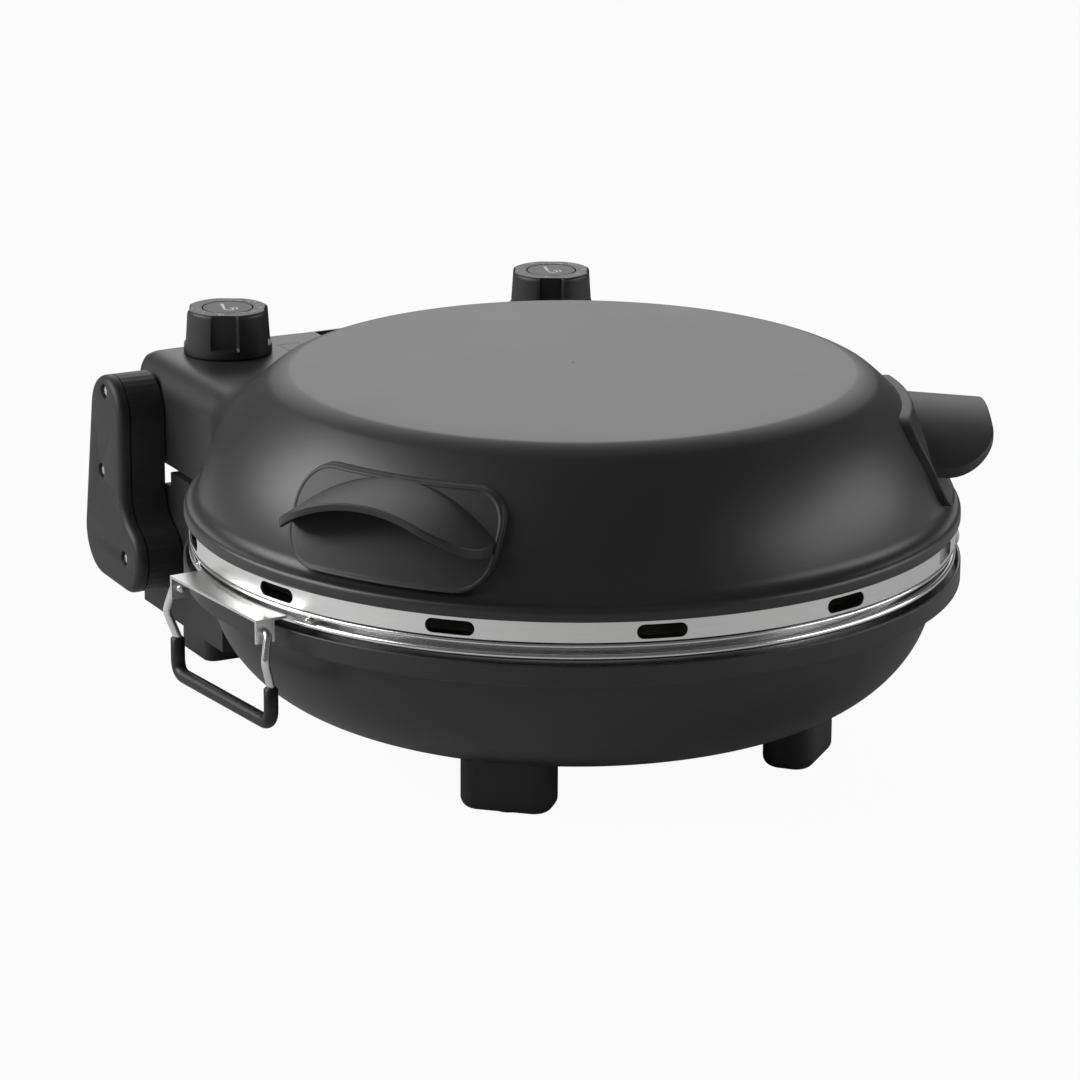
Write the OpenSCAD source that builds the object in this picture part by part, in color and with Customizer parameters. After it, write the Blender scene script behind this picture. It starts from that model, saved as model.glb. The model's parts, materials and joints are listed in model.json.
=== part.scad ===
// Electric pizza maker: a round stone oven with a lid on two folding arms.
// Millimetres, +Z up, front towards -Y. The parts are drawn about the axis of
// the bowl and then moved so that the origin is the middle of the footprint.

/* [Stone] */
// Diameter of the baking stone, which sets the size of bowl and lid
stone_d = 320; // [316:1:326]
// Thickness of the baking stone
stone_t = 12; // [10:0.5:13]
// Diameter of the wire ring round the carrier
ring_wire_d = 3.2; // [2.8:0.1:3.6]

/* [Lid] */
// Distance of the lip of the lid beyond the stone
lip_over = 15.5; // [15:0.5:17]
// Height of the lid from its lip to its crown
lid_h = 67.5; // [66:0.5:72]
// Distance from the flat disc on top of the lid out to the lip
disc_in = 48.5; // [47:0.5:56]
// Fall of that disc from its middle to its edge
disc_dome = 2.2; // [1:0.1:4]
// Thickness of the lid sheet
lid_t = 1.6; // [1:0.1:2]

/* [Seam band] */
// Height of the slotted steel band under the lip
band_h = 9.4; // [9:0.1:11]
// Thickness of the band
band_t = 0.8; // [0.6:0.1:1.2]
// Distance that the band stands back from the lip
band_inset = 2.1; // [2:0.1:3]
// Number of slots round the band
slot_count = 12; // [8:1:16]
// Length of a slot
slot_w = 22; // [12:1:30]
// Height of a slot
slot_h = 6.4; // [4:0.2:6.6]
// Gap between the closed lid and the stone carrier
seam_gap = 0.8; // [0.7:0.1:1.2]

/* [Base bowl] */
// Height of the underside of the bowl above the table
bowl_z = 21.5; // [20:0.5:24]
// Height from that underside to the rim
bowl_h = 66.5; // [64:0.5:70]
// Width of the round side of the bowl, from its flat bottom to its wall
bowl_side_w = 64.5; // [62:0.5:70]
// Width of the shoulder between the bowl wall and the rim
shoulder_w = 11.5; // [10.5:0.5:12.5]
// Height of the upright rim
rim_h = 9.4; // [8:0.2:11]
// Thickness of the bowl sheet
bowl_t = 1.5; // [1:0.1:2]

/* [Hinge arms] */
// Distance of the base pin in front of the rear of the lip
base_pin_in = 6.5; // [4.5:0.5:7.5]
// Height of the base pin
base_pin_z = 57; // [56:0.5:59]
// Distance of the lid pin behind the lip
lid_pin_out = 14.5; // [13.5:0.5:16.5]
// Height of the lid pin
lid_pin_z = 123; // [122:0.5:124]
// Diameter of the hinge pins
pin_d = 8; // [6:0.5:10]
// Thickness of an arm
arm_t = 23; // [21:0.5:25]
// Thickness of the outer cover of an arm
arm_cover_t = 6; // [5:0.5:7]
// Radius of the top lobe of an arm
arm_top_r = 18; // [17:0.5:19]
// Radius of the tail of an arm
arm_tail_r = 21; // [20:0.5:22]

/* [Control housing] */
// Width of the housing
housing_w = 252; // [246:1:256]
// Height of its flat top above its underside
housing_h = 46.5; // [45.5:0.5:47.5]
// Distance from the lid pin back to the rear wall
housing_back = 19; // [18:0.5:19.5]
// Radius of the long top edges at both ends
housing_end_r = 15; // [10:0.5:16]
// Radius of the rear edges
housing_edge_r = 5; // [3:0.5:6]
// Thickness of the housing wall
housing_t = 2.5; // [2:0.1:3]

/* [Knobs] */
// Distance of a knob's axis in from the end of the housing
knob_end_in = 39.5; // [36:0.5:44]
// Distance of the knobs in front of the lid pin
knob_in = 2; // [1:0.5:3]
// Turn of the grip flats of a resting knob
knob_turn = 60; // [0:5:90]
// Height of a knob
knob_h = 21; // [16:0.5:24]
// Radius of a knob at its top
knob_top_r = 19.7; // [17:0.1:20]
// Radius of a knob at its foot
knob_foot_r = 21.1; // [20:0.1:21.5]
// Number of grip flats round a knob
knob_flats = 4; // [3:1:6]
// Radius of the disc let into the top of a knob
knob_disc_r = 11.8; // [9:0.1:12.5]

/* [Side handles] */
// Angle of the left handle from the front
handle_angle = 56.5; // [54:0.5:58]
// Angle of the right handle from the front
handle_angle_right = 65.5; // [62:0.5:67]
// Width of the mounting plate of a handle
plate_w = 102; // [96:1:106]
// Thickness of that plate
plate_t = 3; // [2:0.1:4]
// Width of the arched visor
visor_w = 99; // [92:1:100]
// Rise of the arch of the visor
visor_rise = 19; // [14:0.5:20]
// Thickness of the visor
visor_t = 3.4; // [2.6:0.1:4]
// Distance of the visor's edge beyond the lip
visor_out = 11.5; // [9:0.5:12]
// Radius of the outer corners of the visor
visor_corner_r = 24; // [16:1:28]

/* [Bails] */
// Angle of the left bail from the front, with the right one opposite
bail_angle = 85; // [84:0.5:87]
// Distance of the bail's pivot line beyond the lip
bail_out = 6; // [5.5:0.5:7.5]
// Half the distance between the two eyes of a bail
bail_half = 39; // [36:0.5:41]
// Drop of the bail from its pivot to the grip
bail_drop = 41; // [38:0.5:42]
// Diameter of the bail wire
bail_wire_d = 3.8; // [3.4:0.1:4]
// Diameter of the grip sleeve
bail_grip_d = 6.4; // [6:0.1:7]

/* [Feet] */
// Distance of a front foot from the flat bottom of the bowl
foot_out = 9; // [6:0.5:11]
// Angle of a front foot from the front
foot_angle = 42; // [40:1:50]
// Length of a front foot round the bowl
foot_w = 42; // [36:1:46]
// Depth of a front foot
foot_d = 24; // [22:1:28]
// Diameter of a foot pad
pad_d = 13; // [10:0.5:13.5]

/* [Heating] */
// Diameter of the heating tube
tube_d = 6.5; // [6:0.1:7]
// Distance of the heating loops inside the edge of the stone
loop_in = 56; // [52:1:64]
// Distance between the two leads of a loop
lead_gap = 26; // [22:1:34]

/* [Fits] */
// Radial play of a pin or shaft in its bore
run_fit = 0.06; // [0.03:0.01:0.09]
// Gap between parts that move past each other
move_gap = 0.8; // [0.6:0.1:1]
// Gap round parts that are fixed to each other
seat_gap = 0.2; // [0.1:0.05:0.3]

/* [Hidden] */

$fn = 96;
cut = 1;
big = 600;

// A knee of a bent wire is this much thicker than the wire
knee = 1.04;

// Screws and the holes that they pass through
screw_d = 3;
screw_head_d = 6;
screw_hole_d = screw_d + seat_gap;
post_d = screw_d + 5;

// Colours
paint = [0.24, 0.24, 0.245];
plastic = [0.13, 0.13, 0.135];
black = [0.07, 0.07, 0.07];
steel = [0.78, 0.78, 0.77];
chrome = [0.86, 0.86, 0.88];
zinc = [0.66, 0.67, 0.68];
stone_colour = [0.80, 0.74, 0.63];
tube_colour = [0.30, 0.28, 0.27];
rubber = [0.10, 0.10, 0.10];
smoked = [0.07, 0.05, 0.05];
lamp_red = [0.90, 0.30, 0.20];
ceramic = [0.86, 0.85, 0.80];

// Radii of the closed oven
lip_r = stone_d / 2 + lip_over;
rim_r = lip_r + 0.5;
band_r = lip_r - band_inset;
wall_r = rim_r - shoulder_w;
disc_r = lip_r - disc_in;
bowl_flat_r = wall_r - bowl_side_w;
bail_r = lip_r + bail_out;
foot_r = bowl_flat_r + foot_out;
loop_r = stone_d / 2 - loop_in;

// Heights of the closed oven
rim_z = bowl_z + bowl_h;
carrier_z = rim_z + 8.8;
lip_z = carrier_z + seam_gap + band_h;
crown_z = lip_z + lid_h;
shoulder_z = rim_z - rim_h;

// Hinge places behind the axis
base_pin_y = lip_r - base_pin_in;
lid_pin_y = lip_r + lid_pin_out;
knob_y = lid_pin_y - knob_in;

// Housing places
housing_z = lid_pin_z - 23;
housing_top = housing_z + housing_h;
housing_y = lid_pin_y + housing_back;
side_x = housing_w / 2;
knob_x = side_x - knob_end_in;

// Hinge arm outline: top lobe, tail lobe and toe lobe as (y, z) centres
arm_x = side_x + move_gap;
pin_out_l = 9;
pin_in_l = 14;
pin_end = arm_x + pin_out_l;
pin_start = side_x - pin_in_l;
tail_back = 28;
tail_up = 5;
arm_tail = [base_pin_y + tail_back, base_pin_z + tail_up];
arm_toe = [base_pin_y, base_pin_z];
arm_toe_r = 16.5;
arm_neck_r = 18;
arm_screw_places = [
    [lid_pin_y, lid_pin_z + 10.7], [lid_pin_y + 5, lid_pin_z - 29.3],
    [base_pin_y, base_pin_z]
];

// The footprint reaches from the front of the rim to the tails of the arms
front_reach = rim_r;
rear_reach = arm_tail[0] + arm_tail_r;
axis_y = (front_reach - rear_reach) / 2;

// Rear housing
block_x = side_x;
block_r = 33;
block_top = base_pin_z + block_r;
block_z = bowl_z + 3;
block_t = 2.5;
block_reach = 60;
block_end_t = 16;
leg_x = 92;
leg_w = 34;
leg_back = 13;
leg_y = base_pin_y + leg_back;
leg_d = 34;
leg_r = 5;
leg_into = 6;

// Carrier and stone heights
stone_z = carrier_z - 3 - stone_t;
carrier_t = 1.2;
stone_gap = 1.6;
wire_r = rim_r - 4;
wire_z = rim_z + 3;
plate_z = wire_z + ring_wire_d / 2;
bracket_t = 1.2;
bail_z = rim_z;

// Heating heights
lid_loop_z = lip_z + 13;
bowl_loop_z = bowl_z + 26;
reflector_top = crown_z - 22;
reflector_t = 0.8;
lead_end = lid_pin_y - 6;
lead_hole_d = tube_d + 1;

// Points from a to b on an arc that stands off the chord by rise, to the left
function arc(a, b, rise, n) =
    let (
        d = b - a,
        len = norm(d),
        left = [-d[1], d[0]] / len,
        r = (len * len / 4 + rise * rise) / (2 * abs(rise)),
        c = (a + b) / 2 + left * (rise - sign(rise) * r),
        t0 = atan2(a[1] - c[1], a[0] - c[0]),
        sweep = -sign(rise) * 2 * asin(len / (2 * r))
    )
    [for (i = [0:n]) c + r * [cos(t0 + sweep * i / n), sin(t0 + sweep * i / n)]];

// Normal of an outline at point i, to the right of its direction
function right_of(p, i) =
    let (
        a = p[max(i - 1, 0)],
        b = p[min(i + 1, len(p) - 1)],
        d = (b - a) / norm(b - a)
    )
    [d[1], -d[0]];

// The outline moved to its right by t, kept outside the axis
function moved(p, t) = [
    for (i = [0:len(p) - 1])
        let (q = p[i] + t * right_of(p, i)) [i == 0 ? p[0][0] : max(q[0], 0), q[1]]
];

function reversed(p) = [for (i = [len(p) - 1:-1:0]) p[i]];

// Half outline of a sheet of thickness t whose outer side is p
function sheet(p, t) = concat(p, reversed(moved(p, t)));

// The disc, the shoulder, the side and the flare of the lid, from the crown down
shoulder_in = [disc_r, crown_z - disc_dome];
shoulder_out = [disc_r + 10, crown_z - 6.5];
flare_in = [lip_r - 7, lip_z + 11];
flare_out = [lip_r - 1, lip_z + 6];
disc_line = [
    for (i = [0:4])
        [disc_r * i / 4, crown_z - disc_dome * i * i / 16]
];
lid_line = concat(
    disc_line,
    arc(shoulder_in, shoulder_out, 0.9, 4),
    arc(shoulder_out, flare_in, 5, 10),
    arc(flare_in, flare_out, -1.2, 4),
    arc(flare_out, [lip_r, lip_z + 3.5], 0.3, 2),
    [[lip_r, lip_z]]
);

// A line without points that repeat their forerunner
function cleaned(p) = [
    for (i = [0:len(p) - 1])
        if (i == 0 || norm(p[i] - p[max(i - 1, 0)]) > 0.01) p[i]
];
lid_outer = cleaned(lid_line);

// Quarter of an ellipse from the underside of the bowl up to the small bevel
// under its shoulder
crease = 1;
function bowl_curve(gap) =
    let (
        w = wall_r + gap - bowl_flat_r,
        top = shoulder_z - max(crease, gap),
        h = top - bowl_z + gap
    )
    [for (i = [0:14]) [bowl_flat_r + w * sin(90 * i / 14), top - h * cos(90 * i / 14)]];

rim_round = 3;
bowl_line = cleaned(concat(
    [[0, bowl_z]],
    bowl_curve(0),
    [[wall_r + crease, shoulder_z], [rim_r - rim_round, shoulder_z]],
    arc([rim_r - rim_round, shoulder_z], [rim_r, shoulder_z + rim_round], -0.9, 4),
    [[rim_r, rim_z]]
));

module place() {
    translate([0, axis_y, 0])
        children();
}

// The children and their mirror image across the middle plane
module both_sides() {
    children();
    mirror([1, 0, 0])
        children();
}

module on_side(side) {
    mirror([side > 0 ? 1 : 0, 0, 0])
        children();
}

// Turns +X of the children outwards at an angle from the front, on the left
module facing(angle) {
    rotate([0, 0, 270 - angle])
        children();
}

function handle_turn(side) = side < 0 ? handle_angle : handle_angle_right;

function bail_turn(side) = side < 0 ? bail_angle : 180 - bail_angle;

// The solid that a half outline makes about the axis
module turned(points) {
    rotate_extrude($fn = 180)
        polygon(points);
}

module lid_solid(gap = 0) {
    p = moved(lid_outer, -gap);
    last = p[len(p) - 1];
    turned(concat(p, [[last[0], rim_z], [0, rim_z]]));
}

// The space that the bowl fills, grown by gap, open upwards
module bowl_solid(gap = 0) {
    turned(cleaned(concat(
        [[0, bowl_z - gap]],
        bowl_curve(gap),
        [
            [wall_r + max(crease, gap), shoulder_z - gap], [rim_r + gap, shoulder_z - gap],
            [rim_r + gap, rim_z + bowl_h], [0, rim_z + bowl_h]
        ]
    )));
}

// A round bar between two points
module bar(a, b, d) {
    v = b - a;
    translate(a)
        rotate([0, acos(v[2] / norm(v)), atan2(v[1], v[0])])
            cylinder(h = norm(v), d = d, $fn = 32);
}

// A bent wire from the first point, with a round knee at each later one
module wire(points, d) {
    for (i = [1:len(points) - 1]) {
        bar(points[i - 1], points[i], d);
        translate(points[i])
            sphere(d = knee * d, $fn = 32);
    }
}

// A cylinder along X
module x_rod(x0, x1, d) {
    translate([x0, 0, 0])
        rotate([0, 90, 0])
            cylinder(h = x1 - x0, d = d);
}

// A flat outline drawn in (y, z), thickened along X
module along_x(x0, x1) {
    translate([x0, 0, 0])
        rotate([90, 0, 90])
            linear_extrude(x1 - x0)
                children();
}

// A rectangle with round corners
module round_rect(w, d, r) {
    square([w - 2 * r, d], center = true);
    square([w, d - 2 * r], center = true);
    for (x = [-1, 1], y = [-1, 1])
        translate([x * (w / 2 - r), y * (d / 2 - r)])
            circle(r);
}

// Countersunk screw pointing down from z = 0, with a cross slot
module screw(d, head_d, h) {
    difference() {
        union() {
            translate([0, 0, -head_d / 4])
                cylinder(h = head_d / 4, r1 = d / 2, r2 = head_d / 2, $fn = 24);
            translate([0, 0, -h])
                cylinder(h = h - head_d / 4, d = d, $fn = 24);
        }
        for (a = [0, 90])
            rotate([0, 0, a])
                translate([-head_d / 3, -head_d / 16, -head_d / 8])
                    cube([head_d / 1.5, head_d / 8, head_d / 4]);
    }
}

// Room for a countersunk screw that points down from z = 0
module screw_room(h) {
    sink = screw_head_d / 4;
    translate([0, 0, -sink - seat_gap])
        cylinder(h = sink, r1 = screw_d / 2 + seat_gap, r2 = screw_head_d / 2 + seat_gap, $fn = 24);
    translate([0, 0, -seat_gap - 0.01])
        cylinder(h = cut, r = screw_head_d / 2 + seat_gap, $fn = 24);
    translate([0, 0, -h])
        cylinder(h = h, d = screw_hole_d, $fn = 24);
}

// Base

module base_bowl() {
    color(paint)
        place()
            difference() {
                turned(sheet(bowl_line, -bowl_t));
                leads(loop_r, bowl_loop_z, lead_hole_d);
                foot_screw_places()
                    cylinder(h = 12, d = screw_hole_d, $fn = 24);
            }
}

// Two straight leads of a heating loop, towards the rear
module leads(r, z, d) {
    for (x = [-1, 1])
        translate([x * lead_gap / 2, sqrt(r * r - lead_gap * lead_gap / 4), z])
            rotate([-90, 0, 0])
                cylinder(h = lead_end - r, d = d, $fn = 24);
}

module element(r, z) {
    half = asin(lead_gap / 2 / r);
    translate([0, 0, z])
        rotate([0, 0, 90 + half])
            rotate_extrude(angle = 360 - 2 * half, $fn = 120)
                translate([r, 0])
                    circle(d = tube_d, $fn = 24);
    for (x = [-1, 1])
        translate([x * lead_gap / 2, sqrt(r * r - lead_gap * lead_gap / 4), z])
            sphere(d = knee * tube_d, $fn = 24);
    leads(r, z, tube_d);
}

// Plates across the heating tube that hold it to the floor at height z1
clip_t = 1.2;
clip_r = tube_d / 2 + 2.75;
module element_clips(r, z, z1) {
    low = min(z - clip_r, z1);
    high = max(z + clip_r, z1);
    for (a = [30, 150, 270])
        rotate([0, 0, a])
            difference() {
                translate([r - clip_r, -clip_t / 2, low])
                    cube([2 * clip_r, clip_t, high - low]);
                translate([r, -clip_t, z])
                    rotate([-90, 0, 0])
                        cylinder(h = 2 * clip_t, d = tube_d + 2 * seat_gap, $fn = 24);
            }
}

// Distance between the bowl and the lower reflector
bowl_lining = 4;

// Outline of the dish of the lower reflector, at a distance from the bowl
function dish_line(t) =
    let (p = moved(bowl_line, -t))
    [for (i = [0:len(p) - 9]) p[i]];

module lower_reflector() {
    dish = dish_line(bowl_t + bowl_lining);
    last = len(dish) - 1;
    color(steel)
        place()
            difference() {
                union() {
                    turned(sheet(dish, -reflector_t));
                    reflector_rim(dish[last]);
                }
                leads(loop_r, bowl_loop_z, lead_hole_d);
            }
}

// Flat rim that carries the dish of the lower reflector on the bowl wall
module reflector_rim(edge) {
    outer = wall_r - bowl_t - seat_gap - 1;
    rotate_extrude($fn = 180)
        translate([edge[0] - 1, edge[1] - reflector_t])
            square([max(outer - edge[0] + 1, 2), reflector_t]);
}

module lower_element() {
    color(tube_colour)
        place()
            element(loop_r, bowl_loop_z);
}

// The room inside the lower reflector
module dish_room() {
    line = dish_line(bowl_t + bowl_lining + reflector_t + seat_gap);
    top = line[len(line) - 1];
    turned(concat(line, [[top[0], rim_z], [0, rim_z]]));
}

module lower_element_clips() {
    color(steel)
        place()
            intersection() {
                element_clips(loop_r, bowl_loop_z, bowl_clip_z);
                dish_room();
            }
}

// Height of the lower reflector under the heating loop
bowl_clip_z = bowl_z + bowl_t + bowl_lining + reflector_t + seat_gap;

// Rear housing: a shell behind the bowl with two legs, open at its underside
module block_outline(shrink = 0) {
    r = block_r - shrink;
    translate([base_pin_y, base_pin_z])
        circle(r);
    translate([base_pin_y - block_reach, block_z + shrink])
        square([block_reach + r, base_pin_z - block_z - shrink]);
    translate([base_pin_y - block_reach, base_pin_z - cut])
        square([block_reach, r + cut]);
}

module block_solid(shrink, gap) {
    difference() {
        along_x(-block_x + shrink, block_x - shrink)
            block_outline(shrink);
        bowl_solid(gap);
    }
}

// Plan of the two rear legs
module leg(side, shrink, z0, z1) {
    translate([side * leg_x, leg_y, z0])
        linear_extrude(z1 - z0)
            round_rect(leg_w - 2 * shrink, leg_d - 2 * shrink, leg_r - shrink);
}

module rear_housing() {
    color(plastic)
        place()
            difference() {
                union() {
                    block_solid(0, seat_gap);
                    for (side = [-1, 1])
                        leg(side, 0, pad_proud, block_z + leg_into);
                    beams();
                }
                rear_cavity();
                for (side = [-1, 1])
                    translate([side * leg_x, leg_y, 0])
                        cylinder(h = pad_t + seat_gap, d = pad_d + 2 * seat_gap);
                base_pin_bores(pin_d + 2 * seat_gap);
                gland_bore();
                cover_screw_places()
                    cylinder(h = 14, d = screw_hole_d, $fn = 24);
                leads(loop_r, bowl_loop_z, lead_hole_d);
            }
}

// Raised beams at both ends of the rear housing, beside the lid
beam_w = 28;
beam_d = 22;
beam_rise = 7;
beam_top = block_top + beam_rise;
beam_y = base_pin_y - 2;
module beams() {
    for (side = [-1, 1])
        difference() {
            translate([side * (block_x - beam_w / 2), beam_y - beam_d / 2, block_top - cut])
                translate([-beam_w / 2, -beam_d / 2, 0])
                    cube([beam_w, beam_d, beam_rise + cut]);
            translate([side * block_x, beam_y - beam_d, beam_top - beam_rise / 2])
                cube([2 * beam_w + cut, 3, 1.6], center = true);
            bowl_solid(seat_gap);
        }
}

// Room for the wiring, with an open floor that the cover closes
module rear_cavity() {
    difference() {
        intersection() {
            block_solid(block_t, seat_gap + block_t);
            translate([-block_x + block_end_t, 0, 0])
                cube([2 * (block_x - block_end_t), big, big]);
        }
        for (side = [-1, 1])
            leg(side, -block_t, 0, block_z + leg_into + block_t);
        cover_screw_places()
            translate([0, 0, block_t + seat_gap])
                cylinder(h = big, d = post_d, $fn = 48);
    }
    linear_extrude(block_z + block_t + cut)
        cover_plan(0);
}

// Plan of the opening in the floor of the rear housing
cover_edge = 6;
cover_d = 30;
module cover_plan(gap) {
    x = leg_x - leg_w / 2 - cover_edge - gap;
    translate([-x, base_pin_y - cover_edge + gap])
        square([2 * x, cover_d - 2 * gap]);
}

module base_pin_bores(d) {
    both_sides()
        translate([0, base_pin_y, base_pin_z])
            x_rod(pin_start - cut, side_x + cut, d);
}

module rear_cover() {
    color(black)
        place()
            difference() {
                translate([0, 0, block_z])
                    linear_extrude(block_t)
                        cover_plan(seat_gap);
                cover_screw_places()
                    mirror([0, 0, 1])
                        screw_room(10);
            }
}

cover_screw_x = 52;
module cover_screw_places() {
    for (x = [-1, 1])
        translate([x * cover_screw_x, base_pin_y + cover_d / 2 - cover_edge, block_z])
            children();
}

module rear_cover_screws() {
    color(zinc)
        place()
            cover_screw_places()
                mirror([0, 0, 1])
                    screw(screw_d, screw_head_d, 8);
}

// Front feet

foot_top = bowl_z + 12;
pad_t = 2.4;
pad_proud = 0.8;
foot_corner_r = 9;
foot_edge_r = 5;
foot_screw_in = 7;
foot_screw_h = 9;

module foot_shape() {
    intersection() {
        translate([0, 0, pad_proud])
            linear_extrude(foot_top - pad_proud)
                round_rect(foot_d, foot_w, foot_corner_r);
        rounded_foot_side(foot_d, foot_w, foot_edge_r);
        rotate([0, 0, 90])
            rounded_foot_side(foot_w, foot_d, foot_edge_r);
    }
}

// A bar along Y whose two lower edges are round
module rounded_foot_side(w, l, r) {
    translate([0, l, 0])
        rotate([90, 0, 0])
            linear_extrude(2 * l)
                union() {
                    translate([-w / 2 + r, pad_proud])
                        square([w - 2 * r, foot_top]);
                    translate([-w / 2, pad_proud + r])
                        square([w, foot_top]);
                    for (x = [-1, 1])
                        translate([x * (w / 2 - r), pad_proud + r])
                            circle(r);
                }
}

// Brings children to the middle of a front foot, +X outwards
module at_foot(side) {
    on_side(side)
        facing(foot_angle)
            translate([foot_r, 0, 0])
                children();
}

module foot_screw_places() {
    for (side = [-1, 1])
        at_foot(side)
            translate([-foot_screw_in, 0, bowl_z + bowl_t + screw_head_d / 4 + seat_gap - foot_screw_h])
                children();
}

module front_foot(side) {
    color(black)
        place()
            difference() {
                at_foot(side)
                    foot_shape();
                bowl_solid(seat_gap);
                at_foot(side)
                    cylinder(h = pad_t + seat_gap, d = pad_d + 2 * seat_gap);
                foot_screw_places()
                    cylinder(h = 12, d = screw_hole_d, $fn = 24);
            }
}

module foot_pads() {
    color(rubber)
        place() {
            for (side = [-1, 1])
                at_foot(side)
                    cylinder(h = pad_t, d = pad_d);
            for (side = [-1, 1])
                translate([side * leg_x, leg_y, 0])
                    cylinder(h = pad_t, d = pad_d);
        }
}

module foot_screws() {
    color(zinc)
        place()
            foot_screw_places()
                translate([0, 0, foot_screw_h])
                    screw(screw_d, screw_head_d, foot_screw_h);
}

// Wiring parts in the rear housing

gland_z = block_z + 8;
gland_d = 12;
gland_bore_d = 7.2;
gland_y = base_pin_y + block_r;

module gland_bore() {
    translate([0, gland_y - 8, gland_z])
        rotate([-90, 0, 0])
            cylinder(h = 10, d = gland_d - 2 + 2 * seat_gap);
}

module cord_gland() {
    color(rubber)
        place()
            translate([0, gland_y, gland_z])
                rotate([-90, 0, 0])
                    difference() {
                        union() {
                            translate([0, 0, -block_t - 2])
                                cylinder(h = block_t + 3, d = gland_d - 2);
                            translate([0, 0, seat_gap])
                                cylinder(h = 2, d = gland_d);
                            translate([0, 0, seat_gap + 2])
                                cylinder(h = 3, d1 = gland_d - 1.5, d2 = gland_d - 2.5);
                        }
                        translate([0, 0, -block_t - 2 - cut])
                            cylinder(h = 14, d = gland_bore_d);
                    }
}

module terminal_block() {
    color(ceramic)
        place()
            translate([0, base_pin_y + 8, block_z + block_t + seat_gap])
                difference() {
                    translate([-24, -7, 0])
                        cube([48, 14, 11]);
                    for (x = [-16, 0, 16])
                        translate([x, 0, 5])
                            cylinder(h = 10, d = 5, $fn = 24);
                }
}

// Stone, carrier and wire ring

foot_ring_r = wall_r + 0.8;
bead_r = 0.9;
ledge_w = 9;
module stone_carrier() {
    top_r = stone_d / 2 + stone_gap;
    z1 = carrier_z;
    z0 = shoulder_z + bowl_t;
    color(chrome)
        place()
            rotate_extrude($fn = 180) {
                polygon([
                    [top_r, z1], [top_r, z1 - carrier_t], [foot_ring_r, z0],
                    [foot_ring_r + carrier_t, z0], [top_r + carrier_t, z1 - carrier_t],
                    [band_r - 1, z1 - 2 * bead_r + 0.3], [band_r - 1, z1]
                ]);
                translate([band_r - bead_r, z1 - bead_r])
                    circle(r = bead_r, $fn = 24);
                translate([stone_d / 2 - ledge_w, stone_z - carrier_t])
                    square([foot_ring_r - stone_d / 2 + ledge_w - 0.4, carrier_t]);
            }
}

module pizza_stone() {
    r = stone_d / 2;
    edge = 1.5;
    color(stone_colour)
        place()
            turned([
                [0, stone_z], [r - edge, stone_z], [r, stone_z + edge],
                [r, stone_z + stone_t - edge], [r - edge, stone_z + stone_t],
                [0, stone_z + stone_t]
            ]);
}

module carrier_ring() {
    color(chrome)
        place()
            translate([0, 0, wire_z])
                rotate_extrude($fn = 180)
                    translate([wire_r, 0])
                        circle(d = ring_wire_d, $fn = 24);
}

// Bail brackets, drawn on the left with +X outwards and the eyes along Y

ear_t = 1.5;
ear_x0 = bail_r - 5;
ear_x1 = bail_r + 4;
ear_low = bail_z - 5;
tab_y = bail_half + 14;

module bracket(side) {
    plate_in = foot_ring_r + carrier_t + 0.1;
    color(steel)
        place()
            on_side(side)
                facing(bail_turn(side))
                    difference() {
                        union() {
                            difference() {
                                translate([0, -bail_half, plate_z])
                                    cube([ear_x1, 2 * bail_half, bracket_t]);
                                translate([0, 0, plate_z - cut])
                                    cylinder(h = 4, r = plate_in, $fn = 180);
                            }
                            for (s = [-1, 1])
                                translate([ear_x0, s * (bail_half - ear_t / 2) - ear_t / 2, ear_low])
                                    cube([ear_x1 - ear_x0, ear_t, plate_z + bracket_t - ear_low]);
                            bracket_tabs();
                        }
                        translate([bail_r, 0, bail_z])
                            rotate([90, 0, 0])
                                cylinder(
                                    h = 4 * bail_half, d = bail_wire_d + 2 * run_fit,
                                    center = true, $fn = 48
                                );
                    }
}

// Tabs that reach along the wire ring beyond the ears
module bracket_tabs() {
    intersection() {
        translate([0, -tab_y, plate_z])
            cube([big, 2 * tab_y, bracket_t]);
        difference() {
            cylinder(h = big, r = wire_r + 2.6, $fn = 180);
            translate([0, 0, -cut])
                cylinder(h = big + 2 * cut, r = wire_r - 2.4, $fn = 180);
        }
        translate([wire_r / 2, -big / 2, 0])
            cube([big, big, big]);
    }
}

module bracket_rivets() {
    color(chrome)
        place()
            for (side = [-1, 1], s = [-1, 1])
                on_side(side)
                    facing(bail_turn(side))
                        rotate([0, 0, s * asin((tab_y - 4) / wire_r)])
                            translate([wire_r, 0, plate_z + bracket_t])
                                intersection() {
                                    translate([0, 0, -2])
                                        sphere(r = 3, $fn = 32);
                                    cylinder(h = 3, r = 3, $fn = 32);
                                }
}

// Bails, drawn about the pivot line with +X outwards: a U of wire in a sleeve
// hangs from two cranked legs that end in the eyes
kink_out = 3;
kink_side = 2.5;
kink_drop = 12;
grip_x = -1;
grip_top = 24;
corner_r = 7;
leg_y0 = bail_half + 3.2;

// The straight grip and its two round corners, as a round bar
module grip_bar(d) {
    low = -bail_drop + corner_r;
    for (s = [-1, 1])
        translate([grip_x, s * leg_y0, low])
            cylinder(h = bail_drop - corner_r - grip_top, d = d, $fn = 32);
    for (a = [0, 180])
        rotate([0, 0, a])
            translate([a == 0 ? grip_x : -grip_x, leg_y0 - corner_r, low])
                rotate([0, 90, 0])
                    rotate_extrude(angle = 90, $fn = 96)
                        translate([corner_r, 0])
                            circle(d = d, $fn = 32);
    translate([grip_x, 0, -bail_drop])
        rotate([90, 0, 0])
            cylinder(h = 2 * (leg_y0 - corner_r), d = d, center = true, $fn = 32);
}

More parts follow.
